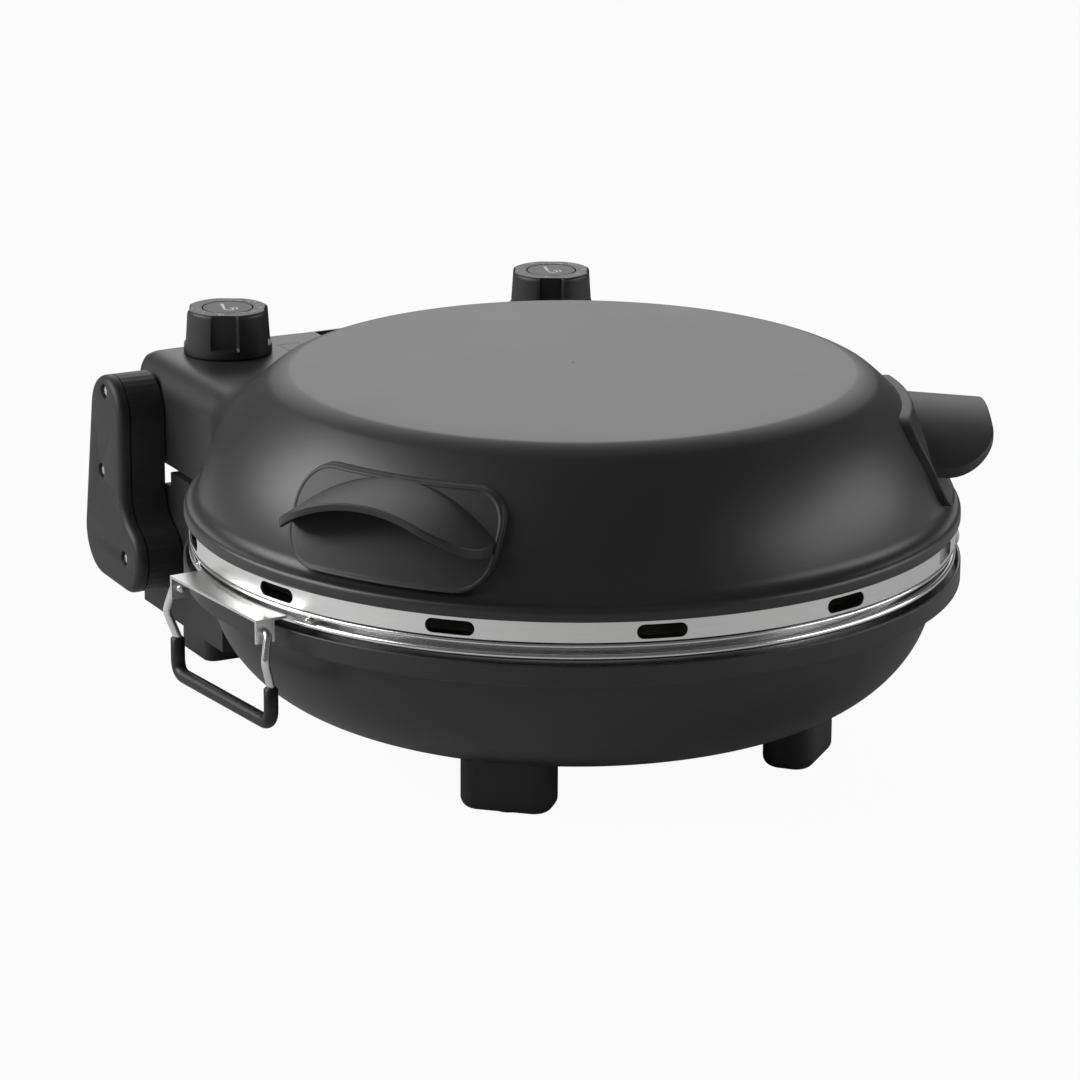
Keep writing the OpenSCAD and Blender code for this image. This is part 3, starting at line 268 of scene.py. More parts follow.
# %% [markdown]
# The colours are read as plain reflectance. The paint is a warm charcoal,
# mouldings are nearly black, and the steels differ mostly in how far they
# blur what they mirror.

# %% Finishes by material slot
finishes = {
    "shell_paint": finish("Charcoal paint", (0.022, 0.022, 0.0225), (0.028, 0.028, 0.0285), (0.37, 0.42), 0.010, 1500.0, specular=0.62),
    "black_plastic": finish("Black moulding", (0.016, 0.016, 0.016), (0.022, 0.022, 0.022), (0.46, 0.54), 0.020, 1300.0),
    "handle_plastic": finish("Handle moulding", (0.026, 0.026, 0.026), (0.034, 0.034, 0.034), (0.46, 0.54), 0.016, 1400.0),
    "knob_plastic": finish("Knob moulding", (0.018, 0.018, 0.018), (0.024, 0.024, 0.024), (0.38, 0.46), 0.012, 1400.0),
    "knob_disc_plastic": finish("Knob disc", (0.016, 0.016, 0.016), (0.022, 0.022, 0.022), (0.42, 0.48), 0.010, 1400.0),
    "pad_rubber": finish("Foot rubber", (0.016, 0.016, 0.016), (0.022, 0.022, 0.022), (0.70, 0.82), 0.030, 900.0),
    "grip_rubber": finish("Sleeve rubber", (0.010, 0.010, 0.010), (0.014, 0.014, 0.014), (0.34, 0.44), 0.012, 1100.0),
    "brushed_band": finish(
        "Brushed band", (0.88, 0.88, 0.87), (0.96, 0.96, 0.95), (0.26, 0.32), 0.0012, 1600.0, 1.0, group=brushing
    ),
    "bright_steel": finish("Bright steel", (0.86, 0.86, 0.86), (0.94, 0.94, 0.94), (0.16, 0.21), 0.0006, 300.0, 1.0),
    "bracket_steel": finish("Bracket steel", (0.70, 0.70, 0.69), (0.80, 0.80, 0.79), (0.24, 0.32), 0.002, 700.0, 1.0),
    "bail_chrome": finish("Bail wire", (0.84, 0.84, 0.85), (0.92, 0.92, 0.93), (0.20, 0.28), 0.001, 500.0, 1.0),
    "reflector_steel": finish("Reflector sheet", (0.46, 0.46, 0.45), (0.58, 0.58, 0.57), (0.30, 0.44), 0.012, 500.0, 1.0),
    "heater_tube": finish("Heater tube", (0.050, 0.044, 0.040), (0.090, 0.080, 0.070), (0.45, 0.62), 0.020, 800.0, 0.6),
    "zinc_screws": finish("Zinc screws", (0.86, 0.86, 0.87), (0.94, 0.94, 0.95), (0.40, 0.50), 0.006, 1200.0, 1.0),
    "baking_stone": finish("Fired stone", (0.42, 0.36, 0.27), (0.58, 0.51, 0.40), (0.82, 0.95), 0.120, 420.0, specular=0.3),
    "ceramic_block": finish("Glazed ceramic", (0.70, 0.68, 0.62), (0.78, 0.76, 0.71), (0.25, 0.35), 0.010, 300.0),
    "lamp_window": finish("Smoked window", (0.010, 0.008, 0.008), (0.016, 0.012, 0.011), (0.12, 0.20), 0.004, 300.0),
}
for part in frame["record"]["subparts"]:
    node = frame["nodes"][part["node"]]
    node.data.materials.clear()
    node.data.materials.append(finishes[part["material_slot"]])
print("finishes:", len(finishes))

# %% [markdown]
# ## Mesh helpers
#
# Each piece is a mesh built from points in millimetres. It is smooth
# shaded, takes the finish of its slot and rides on the body that carries it.

# %% Mesh helpers


def piece(name, points, faces, body, slot, crease=180):
    """A smooth mesh about the axis of the bowl, riding on a body, that stays
    sharp where it bends by more than crease degrees."""
    data = bpy.data.meshes.new(name)
    data.from_pydata([at_axis(*p) for p in points], [], faces)
    data.validate()
    data.materials.append(finishes[slot])
    sides = bmesh.new()
    sides.from_mesh(data)
    bmesh.ops.recalc_face_normals(sides, faces=sides.faces)
    sides.to_mesh(data)
    sides.free()
    data.shade_smooth()
    if crease < 180:
        data.set_sharp_from_angle(angle=math.radians(crease))
    thing = bpy.data.objects.new(name, data)
    bpy.context.scene.collection.objects.link(thing)
    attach(thing, body)
    return thing


def grid_faces(rows, columns, closed):
    """Quads of a grid of points, row by row, closed along its columns or not."""
    last = columns if closed else columns - 1
    return [
        (r * columns + c, r * columns + (c + 1) % columns,
         (r + 1) * columns + (c + 1) % columns, (r + 1) * columns + c)
        for r in range(rows - 1) for c in range(last)
    ]


def arc(a, b, rise, n):
    """Points from a to b on an arc that stands off the chord, to the left."""
    a, b = np.array(a, float), np.array(b, float)
    d = b - a
    span = np.hypot(*d)
    left = np.array([-d[1], d[0]]) / span
    r = (span**2 / 4 + rise**2) / (2 * abs(rise))
    c = (a + b) / 2 + left * (rise - math.copysign(r, rise))
    t0 = math.atan2(a[1] - c[1], a[0] - c[0])
    sweep = -math.copysign(2 * math.asin(span / (2 * r)), rise)
    return [tuple(c + r * np.array([math.cos(t0 + sweep * i / n), math.sin(t0 + sweep * i / n)]))
            for i in range(n + 1)]


def turned(name, outline, body, slot, columns=240, centre=(0, 0)):
    """A surface of revolution from (radius, height) points about a centre."""
    angles = np.linspace(0, 2 * math.pi, columns, endpoint=False)
    points = [(centre[0] + r * math.cos(t), centre[1] + r * math.sin(t), z)
              for r, z in outline for t in angles]
    return piece(name, points, grid_faces(len(outline), columns, True), body, slot)


print("mesh helpers are ready")

# %% [markdown]
# ## Stage
#
# The floor is pale and carries the shadow. A wide world light stands for a
# studio tent, and two tall soft lamps give the highlights on the lid's side.

# %% Floor and light
floor_mesh = bpy.data.meshes.new("floor")
floor_mesh.from_pydata([(-8, -8, 0), (8, -8, 0), (8, 8, 0), (-8, 8, 0)], [], [(0, 1, 2, 3)])
floor = bpy.data.objects.new("floor", floor_mesh)
bpy.context.scene.collection.objects.link(floor)
pale = bpy.data.materials.new("Pale floor")
pale.use_nodes = True
tree = pale.node_tree
tree.nodes["Principled BSDF"].inputs["Roughness"].default_value = 0.9
tree.nodes["Principled BSDF"].inputs["Specular IOR Level"].default_value = 0.1
paths = tree.nodes.new("ShaderNodeLightPath")
share = math_node(tree, "MULTIPLY", paths.outputs["Is Camera Ray"], 0.95)
tree.nodes["Principled BSDF"].inputs["Base Color"].default_value = (0.70, 0.70, 0.70, 1)
glow = tree.nodes.new("ShaderNodeEmission")
glow.inputs["Color"].default_value = (1, 1, 1, 1)
glow.inputs["Strength"].default_value = 1.0
blend = tree.nodes.new("ShaderNodeMixShader")
tree.links.new(share, blend.inputs[0])
tree.links.new(tree.nodes["Principled BSDF"].outputs[0], blend.inputs[1])
tree.links.new(glow.outputs[0], blend.inputs[2])
tree.links.new(blend.outputs[0], tree.nodes["Material Output"].inputs["Surface"])
floor_mesh.materials.append(pale)

GLOW_LIFT = math.radians(28)
world = bpy.data.worlds.new("studio")
bpy.context.scene.world = world
world.use_nodes = True
tree = world.node_tree
sky = tree.nodes["Background"]
sky.inputs["Color"].default_value = (1, 1, 1, 1)
where = tree.nodes.new("ShaderNodeTexCoord")
behind_oven = tree.nodes.new("ShaderNodeVectorMath")
behind_oven.operation = "DOT_PRODUCT"
behind_oven.inputs[1].default_value = (*(-back.xy.normalized() * math.cos(GLOW_LIFT)), math.sin(GLOW_LIFT))
tree.links.new(where.outputs["Generated"], behind_oven.inputs[0])
paper = tree.nodes.new("ShaderNodeMapRange")
paper.interpolation_type = "SMOOTHSTEP"
for label, value in (("From Min", 0.87), ("From Max", 1.0), ("To Min", 0.10), ("To Max", 1.85)):
    paper.inputs[label].default_value = value
tree.links.new(behind_oven.outputs["Value"], paper.inputs["Value"])
tree.links.new(paper.outputs["Result"], sky.inputs["Strength"])
seen = tree.nodes.new("ShaderNodeBackground")
seen.inputs["Color"].default_value = (1, 1, 1, 1)
seen.inputs["Strength"].default_value = 1.0
paths = tree.nodes.new("ShaderNodeLightPath")
blend = tree.nodes.new("ShaderNodeMixShader")
tree.links.new(paths.outputs["Is Camera Ray"], blend.inputs[0])
tree.links.new(sky.outputs[0], blend.inputs[1])
tree.links.new(seen.outputs[0], blend.inputs[2])
tree.links.new(blend.outputs[0], tree.nodes["World Output"].inputs["Surface"])


def soft_lamp(name, azimuth, elevation, distance, width, height, power):
    """A rectangular lamp that looks at the oven from those angles."""
    _, _, towards = view_axes(azimuth, elevation)
    lamp = bpy.data.lights.new(name, "AREA")
    lamp.shape = "RECTANGLE"
    lamp.size, lamp.size_y, lamp.energy = width, height, power
    thing = bpy.data.objects.new(name, lamp)
    bpy.context.scene.collection.objects.link(thing)
    thing.location = Vector((0, AXIS_Y * MM, 0.08)) + towards * distance
    thing.rotation_mode = "QUATERNION"
    thing.rotation_quaternion = towards.to_track_quat("Z", "Y")
    return thing


soft_lamp("left_lamp", -116, 30, 1.8, 1.5, 1.1, 26)
soft_lamp("right_lamp", 62, 18, 1.8, 1.7, 0.7, 10)
bpy.context.scene.view_settings.view_transform = "Standard"
print("stage and lamps are set")

# %% [markdown]
# ## Lid and control housing
#
# On the real oven the lid is one painted skin. The dome runs into the
# control housing behind it through a soft hollow, so a lid and a box set
# against each other would show a hard line that isn't there. A surface of
# revolution can't turn into a box either. So the skin starts as rings about
# the axis, and the rings behind are pushed outwards until they meet a smooth
# union of the two forms, given as distances.

# %% Profile of the lid
CROWN_Z, LIP_Z, LIP_R, DISC_R, DISC_FALL = 174.5, 107.0, 175.5, 127.0, 2.2


def lid_profile():
    """Closely spaced (radius, height) points from the crown to the lip."""
    corner, shoulder = (DISC_R, CROWN_Z - DISC_FALL), (DISC_R + 10, CROWN_Z - 6.5)
    flare, roll = (LIP_R - 7, LIP_Z + 11), (LIP_R - 1, LIP_Z + 6)
    line = [(DISC_R * i / 60, CROWN_Z - DISC_FALL * (i / 60) ** 2) for i in range(60)]
    line += arc(corner, shoulder, 0.4, 16)[:-1] + arc(shoulder, flare, 5, 80)[:-1]
    line += arc(flare, roll, -1.2, 12)[:-1] + arc(roll, (LIP_R, LIP_Z + 3.5), 0.3, 6)
    line = np.array(line + [(LIP_R, LIP_Z + 0.6)])
    steps = np.r_[0, np.cumsum(np.hypot(*np.diff(line, axis=0).T))]
    even = np.arange(0, steps[-1], 0.5)
    line = np.c_[np.interp(even, steps, line[:, 0]), np.interp(even, steps, line[:, 1])]
    kernel = np.exp(-0.5 * (np.arange(-12, 13) * 0.5 / 0.8) ** 2)
    padded = np.r_[2 * line[0] - line[12:0:-1], line, 2 * line[-1] - line[-2:-14:-1]]
    return np.c_[[np.convolve(padded[:, k], kernel / kernel.sum(), "valid") for k in (0, 1)]].T


profile = lid_profile()
print("profile points:", len(profile), "lip at", profile[-1].round(2))

# %% [markdown]
# The distance to the lid is looked up in a table over radius and height,
# which is quick to read at many points. The housing's distance is made of
# three outlines, seen from above, behind and the side, each with its round
# corners. A smooth minimum joins the two with a hollow that is wide at the
# top of the housing and closes towards the lip.

# %% Distances to the lid and to the housing
SIDE_X, REAR_Y, TOP_Z, FLOOR_Z, SKIN = 126.0, 209.0, 146.5, 100.0, 0.12
table_r, table_z = np.arange(60, 260, 0.5), np.arange(60, 200, 0.5)


def lid_table():
    """Signed distance to the lid for every (radius, height) of the table."""
    line = np.r_[profile, [(LIP_R, 60.0)]]
    p = np.stack(np.meshgrid(table_r, table_z, indexing="ij"), -1).reshape(-1, 2)
    nearest = np.full(len(p), 1e9)
    inside = np.zeros(len(p), bool)
    for a, b in zip(line[:-1], line[1:]):
        d = b - a
        t = np.clip(((p - a) @ d) / (d @ d), 0, 1)
        nearest = np.minimum(nearest, np.hypot(*(p - a - t[:, None] * d).T))
        if a[1] != b[1]:
            crossed = (p[:, 1] > min(a[1], b[1])) & (p[:, 1] <= max(a[1], b[1]))
            inside |= crossed & (p[:, 0] < a[0] + (p[:, 1] - a[1]) * d[0] / d[1])
    return np.where(inside, -nearest, nearest).reshape(len(table_r), len(table_z))


lid_field = lid_table()


def lid_distance(p):
    """Distance from points to the lid, from the table."""
    u = np.clip((np.hypot(p[:, 0], p[:, 1]) - table_r[0]) / 0.5, 0, len(table_r) - 1.01)
    v = np.clip((p[:, 2] - table_z[0]) / 0.5, 0, len(table_z) - 1.01)
    i, j = u.astype(int), v.astype(int)
    fu, fv = u - i, v - j
    return ((1 - fu) * (1 - fv) * lid_field[i, j] + fu * (1 - fv) * lid_field[i + 1, j]
            + (1 - fu) * fv * lid_field[i, j + 1] + fu * fv * lid_field[i + 1, j + 1])


def corner_distance(u, v, r):
    """Distance to a quarter plane with a round corner at the origin."""
    a, b = u + r, v + r
    return np.hypot(np.maximum(a, 0), np.maximum(b, 0)) + np.minimum(np.maximum(a, b), 0) - r


def housing_distance(p):
    """Distance to the control housing, endless towards the lid and down."""
    x, y, z = np.abs(p[:, 0]) - SIDE_X, p[:, 1] - REAR_Y, p[:, 2] - TOP_Z
    plan, back_view = corner_distance(x, y, 9), corner_distance(x, z, 15)
    side_view = np.maximum(corner_distance(y, z, 5), corner_distance(y, FLOOR_Z - p[:, 2], 9))
    return np.maximum(np.maximum(plan, back_view), side_view) - SKIN


def skin_distance(p):
    """Smooth union of lid and housing."""
    a, b = lid_distance(p), housing_distance(p)
    k = 1.0 + 11.0 * np.clip((p[:, 2] - 108) / 28, 0, 1)
    h = np.maximum(k - np.abs(a - b), 0) / k
    return np.minimum(a, b) - h * h * k / 4


print("table:", lid_field.shape)

# %% Rings and columns of the skin
half = math.asin(SIDE_X / LIP_R)
rear = math.pi / 2 + np.linspace(-half, half, 321)
front = math.pi / 2 + np.linspace(half, 2 * math.pi - half, 221)[1:-1]
columns = np.r_[rear, front]
spaced = [profile[int(i)] for i in np.r_[np.linspace(1, 250, 12), np.arange(254, len(profile), 1)]]
rings = np.array(spaced)
skin = np.stack([
    np.outer(rings[:, 0], np.cos(columns)), np.outer(rings[:, 0], np.sin(columns)),
    np.repeat(rings[:, 1:2], len(columns), 1),
], -1)
HEART = np.array([0.0, 120.0, 125.0])


def pushed_out(points, distance):
    """Moves points away from the heart of the lid until distance is zero."""
    away = points - HEART
    low, high = np.full(len(points), 0.9), np.full(len(points), 4.0)
    for _ in range(26):
        middle = (low + high) / 2
        outside = distance(HEART + away * middle[:, None]) > 0
        low, high = np.where(outside, low, middle), np.where(outside, middle, high)
    return HEART + away * low[:, None]


behind = skin[:, :, 1] > 55
behind[:30] = False
moved = pushed_out(skin[behind], skin_distance)
skin[behind] = moved
print("skin points:", skin.shape[0] * skin.shape[1])

# %% [markdown]
# Below the lip the two halves differ. In front the lip rolls under itself.
# Behind, the wall of the housing goes on down to its round lower edge.

# %% Lower edges of the skin
WALL_ROWS = 14
heads = skin[-1, : len(rear)]
feet = heads.copy()
for k, p in enumerate(heads):
    d = p[:2] - HEART[:2]
    reach = min((SIDE_X + SKIN) / max(abs(d[0]), 1e-6), (REAR_Y + SKIN - 9 - HEART[1]) / max(d[1], 1e-6) if d[1] > 0 else 1e9)
    feet[k] = (*(HEART[:2] + d * reach), FLOOR_Z)
walls = np.array([heads + (feet - heads) * (i / WALL_ROWS) for i in range(1, WALL_ROWS + 1)])
walls[:-1] = pushed_out(walls[:-1].reshape(-1, 3), housing_distance).reshape(WALL_ROWS - 1, -1, 3)
folds = [(LIP_R - 0.5, LIP_Z), (LIP_R - 1.6, LIP_Z), (LIP_R - 1.8, LIP_Z + 1.5)]
under = np.array([[(r * math.cos(t), r * math.sin(t), z) for t in np.r_[rear[-1], front, rear[0]]] for r, z in folds])

rows, wide = skin.shape[:2]
points = np.r_[skin.reshape(-1, 3), walls.reshape(-1, 3), under.reshape(-1, 3)].tolist()
faces = grid_faces(rows, wide, True)
lip = (rows - 1) * wide
wall_ids = np.vstack([lip + np.arange(len(rear)), rows * wide + np.arange(walls.shape[0] * len(rear)).reshape(-1, len(rear))])
first_under = rows * wide + walls.shape[0] * len(rear)
lip_front = np.r_[lip + len(rear) - 1, lip + np.arange(len(rear), wide), lip]
under_ids = np.vstack([lip_front, first_under + np.arange(under.shape[0] * under.shape[1]).reshape(under.shape[0], -1)])
for ids in (wall_ids, under_ids):
    faces += [
        (ids[r, c], ids[r, c + 1], ids[r + 1, c + 1], ids[r + 1, c])
        for r in range(ids.shape[0] - 1) for c in range(ids.shape[1] - 1)
    ]
faces = [tuple(int(i) for i in f) for f in faces]
lid_skin = piece("lid_skin", points, faces, "lid", "shell_paint")
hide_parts("lid_shell")
print("lid skin faces:", len(faces))

# %% [markdown]
# The window for the lamps is a long slot in the top of the housing. The skin
# is cut along the four sides of the slot and the faces inside are dropped, so
# that the sunken tray below shows.

# %% Window slot in the skin
WINDOW_X, WINDOW_Y = 34.0, (194.5, 203.5)


def near_window(f):
    """Whether a face of the skin lies about the window slot."""
    c = f.calc_center_median() - at_axis(0, sum(WINDOW_Y) / 2, TOP_Z)
    return abs(c.x) < 45 * MM and abs(c.y) < 9 * MM and abs(c.z) < 2 * MM


skin_mesh = bmesh.new()
skin_mesh.from_mesh(lid_skin.data)
for spot, across in (
    (at_axis(-WINDOW_X, 0, 0), (1, 0, 0)), (at_axis(WINDOW_X, 0, 0), (1, 0, 0)),
    (at_axis(0, WINDOW_Y[0], 0), (0, 1, 0)), (at_axis(0, WINDOW_Y[1], 0), (0, 1, 0)),
):
    near = [f for f in skin_mesh.faces if near_window(f)]
    around = {v for f in near for v in f.verts} | {e for f in near for e in f.edges} | set(near)
    bmesh.ops.bisect_plane(skin_mesh, geom=list(around), plane_co=spot, plane_no=across)
corner_low, corner_high = at_axis(-WINDOW_X, WINDOW_Y[0], 0), at_axis(WINDOW_X, WINDOW_Y[1], 0)
inside = []
for f in skin_mesh.faces:
    c = f.calc_center_median()
    if near_window(f) and corner_low.x < c.x < corner_high.x and corner_low.y < c.y < corner_high.y:
        inside.append(f)
bmesh.ops.delete(skin_mesh, geom=inside, context="FACES")
skin_mesh.to_mesh(lid_skin.data)
skin_mesh.free()
print("faces taken out for the window:", len(inside))

# %% [markdown]
# ## Rounded outlines and round bars
#
# Real edges are never sharp, and a thin line of light along an edge is what
# makes a moulding read as a moulding. The next helper rounds the corners of
# any outline or path, in two or three dimensions. The second sweeps a circle
# along a path, for the bent wires.

# %% Helpers for rounded outlines and bars


def softened(line, radius, steps=5, guard=True):
    """A line with round corners. A guard point beside each keeps flats flat."""
    line = [np.array(p, float) for p in line]
    out = [line[0]]
    for before, corner, after in zip(line, line[1:], line[2:]):
        a, b = before - corner, after - corner
        long_a, long_b = np.linalg.norm(a), np.linalg.norm(b)
        a, b = a / long_a, b / long_b
        bend = math.pi - math.acos(max(-1.0, min(1.0, float(a @ b))))
        if bend < 0.2:
            out.append(corner)
            continue
        reach = min(radius * math.tan(bend / 2), 0.42 * long_a, 0.42 * long_b)
        start, end = corner + a * reach, corner + b * reach
        if guard:
            out.append(corner + a * reach * 1.15)
        for i in range(steps + 1):
            t = i / steps
            out.append((1 - t) ** 2 * start + 2 * t * (1 - t) * corner + t * t * end)
        if guard:
            out.append(corner + b * reach * 1.15)
    return out + [line[-1]]


def bar(name, path, radius, body, slot, sides=28):
    """A round bar along a path, with slightly rounded ends."""
    path = np.array(path, float)
    first, last = path[1] - path[0], path[-2] - path[-1]
    first, last = first / np.linalg.norm(first), last / np.linalg.norm(last)
    path = np.vstack([path[:1], path[:1] + first * 0.3 * radius, path[1:-1],
                      path[-1:] + last * 0.3 * radius, path[-1:]])
    radii = np.full(len(path), float(radius))
    radii[[0, -1]] = 0.72 * radius
    along = np.gradient(path, axis=0)
    along[0], along[1], along[-1], along[-2] = first, first, -last, -last
    across = np.cross(along[0], (0.3, 0.2, 1.0))
    rows = []
    for p, t, r in zip(path, along, radii):
        t = t / np.linalg.norm(t)
        across = across - t * (across @ t)
        across = across / np.linalg.norm(across)
        turn = np.linspace(0, 2 * math.pi, sides, endpoint=False)[:, None]
        rows.append(p + r * (np.cos(turn) * across + np.sin(turn) * np.cross(t, across)))
    faces = grid_faces(len(rows), sides, True)
    faces += [tuple(range(sides))[::-1], tuple(range((len(rows) - 1) * sides, len(rows) * sides))]
    return piece(name, np.vstack(rows).tolist(), faces, body, slot, crease=50)


def outwards(angle, side):
    """Turns a point drawn with +X outwards to its place, left or right."""
    a = math.radians(270 - angle)

    def turn(p):
        x, y = p[0] * math.cos(a) - p[1] * math.sin(a), p[0] * math.sin(a) + p[1] * math.cos(a)
        return (-x if side > 0 else x, y, p[2])

    return turn


SIDES = {-1: "left", 1: "right"}
print("rounded helpers are ready")

# %% [markdown]
# ## Bowl
#
# The bowl is one pressed sheet: a flat bottom, a quarter of an ellipse for
# the side, a small crease, and an upright rim. The outline goes up outside
# and comes down inside.

# %% Bowl
FLAT_R, SIDE_W, SIDE_H, SIDE_TOP = 100.0, 64.5, 56.1, 77.6
RIM_R, RIM_LOW, RIM_Z, BOWL_T = 176.0, 78.6, 88.0, 1.5


def bowl_side(t):
    """The side of the bowl, drawn in by t, from the bottom up."""
    return [
        (FLAT_R + (SIDE_W - t) * math.sin(a), SIDE_TOP - (SIDE_H - t) * math.cos(a))
        for a in np.linspace(0, math.pi / 2, 40)
    ]


edge_of_bowl = softened([
    (SIDE_W + FLAT_R, SIDE_TOP - 2), (SIDE_W + FLAT_R, SIDE_TOP), (SIDE_W + FLAT_R + 1, RIM_LOW),
    (RIM_R, RIM_LOW), (RIM_R, RIM_Z), (RIM_R - BOWL_T, RIM_Z), (RIM_R - BOWL_T, RIM_LOW + BOWL_T),
    (SIDE_W + FLAT_R, RIM_LOW + BOWL_T), (SIDE_W + FLAT_R - BOWL_T, SIDE_TOP),
    (SIDE_W + FLAT_R - BOWL_T, SIDE_TOP - 2),
], 0.9)
bowl_line = [(0.01, SIDE_TOP - SIDE_H), (FLAT_R - 1, SIDE_TOP - SIDE_H)] + bowl_side(0)[:-2]
bowl_line += edge_of_bowl + bowl_side(BOWL_T)[-3::-1]
bowl_line += [(FLAT_R - 1, SIDE_TOP - SIDE_H + BOWL_T), (0.01, SIDE_TOP - SIDE_H + BOWL_T)]
bowl = turned("bowl", bowl_line, "base", "shell_paint")
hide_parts("base_bowl")
print("bowl outline points:", len(bowl_line))

# %% [markdown]
# ## Knobs
#
# A knob is a short cone with four sunken grips. Each grip is a flat pocket
# with sloping walls that stops above the foot. The points lie on rings, and
# wherever a ring crosses a pocket it is drawn in to the pocket's flat.

# %% Knobs and their discs
KNOB_X, KNOB_Y, KNOB_Z, KNOB_TOP = 86.5, 188.0, 147.1, 168.1
FOOT_R, HEAD_R, DISC_EDGE = 21.1, 19.7, 11.8
GRIP_TURN, GRIP_HALF, GRIP_FLAT, GRIP_LOW = 62.0, 19.5, 17.5, 151.1


def knob_angles():
    """Angles round a knob, close together at the walls of the pockets."""
    wall = [GRIP_HALF + 1.0, GRIP_HALF, GRIP_HALF - 3.0, GRIP_HALF - 3.8]
    pocket = [-w for w in wall] + list(np.linspace(-12, 12, 7)) + wall[::-1]
    between = list(np.linspace(GRIP_HALF + 4, 86 - GRIP_HALF, 12))
    return [math.radians(GRIP_TURN + 90 * k + a) for k in range(4) for a in pocket + between]


def knob_radius(r, z, angle):
    """Radius of a knob at a ring and angle, drawn in where a pocket is."""
    off = (math.degrees(angle) - GRIP_TURN + 45) % 90 - 45
    if abs(off) > GRIP_HALF - 1 or z < GRIP_LOW + 0.1:
        return r
    return min(r, GRIP_FLAT / math.cos(math.radians(off)))


def knob_rings():
    """(radius, height) of each ring, from the foot up and over to the disc."""
    def side(z):
        return FOOT_R + (HEAD_R - FOOT_R) * (z - KNOB_Z) / (KNOB_TOP - KNOB_Z)

    low = [(FOOT_R - 3, KNOB_Z), (FOOT_R - 0.4, KNOB_Z), (FOOT_R - 0.1, KNOB_Z + 0.15), (FOOT_R, KNOB_Z + 0.5)]
    steps = [GRIP_LOW - 0.6, GRIP_LOW, GRIP_LOW + 1.3, GRIP_LOW + 1.8, 157, 161, KNOB_TOP - 2.2, KNOB_TOP - 1.6]
    head = [(HEAD_R - 1.4 * (1 - math.cos(a)), KNOB_TOP - 1.4 * (1 - math.sin(a)))
            for a in np.linspace(0.2, math.pi / 2, 6)]
    inner = [(17.4, KNOB_TOP), (12.7, KNOB_TOP), (12.3, KNOB_TOP - 0.15), (12.2, KNOB_TOP - 0.5), (12.2, KNOB_TOP - 1.6)]
    return low + [(side(z), z) for z in steps] + head + inner


for side, word in SIDES.items():
    angles, rings_of_knob = knob_angles(), knob_rings()
    points = []
    for r, z in rings_of_knob:
        for a in angles:
            reach = knob_radius(r, z, a)
            points.append((side * KNOB_X + reach * math.cos(a), KNOB_Y + reach * math.sin(a), z))
    faces = grid_faces(len(rings_of_knob), len(angles), True)
    knob = piece(f"knob_body_{word}", points, faces, f"knob_turn_{word}", "knob_plastic", crease=32)
    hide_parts(f"knob_{word}")
    top = softened([(0.01, KNOB_TOP - 0.1), (DISC_EDGE, KNOB_TOP - 0.1), (DISC_EDGE, KNOB_TOP - 1.5)], 0.4)
    disc = turned(
        f"knob_badge_{word}", top, f"knob_turn_{word}", "knob_disc_plastic", 96, (side * KNOB_X, KNOB_Y)
    )
    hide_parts(f"knob_disc_{word}")
print("points on a knob:", len(points))

# %% [markdown]
# The print on the knobs is plain: a few numbers, an arc that grows wider
# with the heat, short ticks and a small thermometer. Print has almost no
# height, so each mark is a flat strip a few hundredths of a millimetre above
# the surface.

# %% Printed marks
finishes["pale_print"] = finish(
    "Pale print", (0.70, 0.70, 0.70), (0.80, 0.80, 0.80), (0.5, 0.6), 0.004, 900.0
)
finishes["grey_print"] = finish(
    "Grey print", (0.22, 0.22, 0.22), (0.28, 0.28, 0.28), (0.5, 0.6), 0.004, 900.0
)
PRINT = 0.04


def strip(line, widths):
    """Points and faces of a flat strip along (x, y) points, as wide as given."""
    line = np.array(line, float)
    along = np.gradient(line, axis=0)
    across = np.c_[-along[:, 1], along[:, 0]] / np.hypot(*along.T)[:, None]
    half = np.broadcast_to(np.array(widths, float) / 2, len(line))[:, None]
    pairs = np.stack([line - across * half, line + across * half], 1).reshape(-1, 2)
    return pairs, grid_faces(len(line), 2, False)


def printed(name, strips, z, body, slot):
    """One flat mesh from several strips at a height."""
    points, faces = [], []
    for pairs, quads in strips:
        faces += [tuple(i + len(points) for i in q) for q in quads]
        points += [(x, y, z) for x, y in pairs]
    return piece(name, points, faces, body, slot)


def ring_arc(centre, r, a, b, n=24):
    """Points on a circle from angle a to angle b, in degrees."""
    turn = np.radians(np.linspace(a, b, n))
    return np.c_[centre[0] + r * np.cos(turn), centre[1] + r * np.sin(turn)]


DIGIT_STROKES = {
    "0": [[(0, 0), (1, 0), (1, 2), (0, 2), (0, 0)]],
    "1": [[(0.5, 0), (0.5, 2)]],
    "2": [[(0, 2), (1, 2), (1, 1), (0, 1), (0, 0), (1, 0)]],
    "3": [[(0, 2), (1, 2), (1, 0), (0, 0)], [(0, 1), (1, 1)]],
}


def digits(word, centre, r, angle, size=0.9):
    """Strips for a number that reads outwards at an angle on a ring."""
    strips = []
    a = math.radians(angle)
    right_way, up_way = np.array([math.sin(a), -math.cos(a)]), np.array([math.cos(a), math.sin(a)])
    for k, letter in enumerate(word):
        shift = (k - (len(word) - 1) / 2) * 1.7 - 0.5
        for stroke in DIGIT_STROKES[letter]:
            placed = [
                np.array(centre) + size * (right_way * (x + shift)) + up_way * (r + size * (y - 1))
                for x, y in stroke
            ]
            strips.append(strip(softened(placed, 0.15, 2, False), 0.28))
    return strips


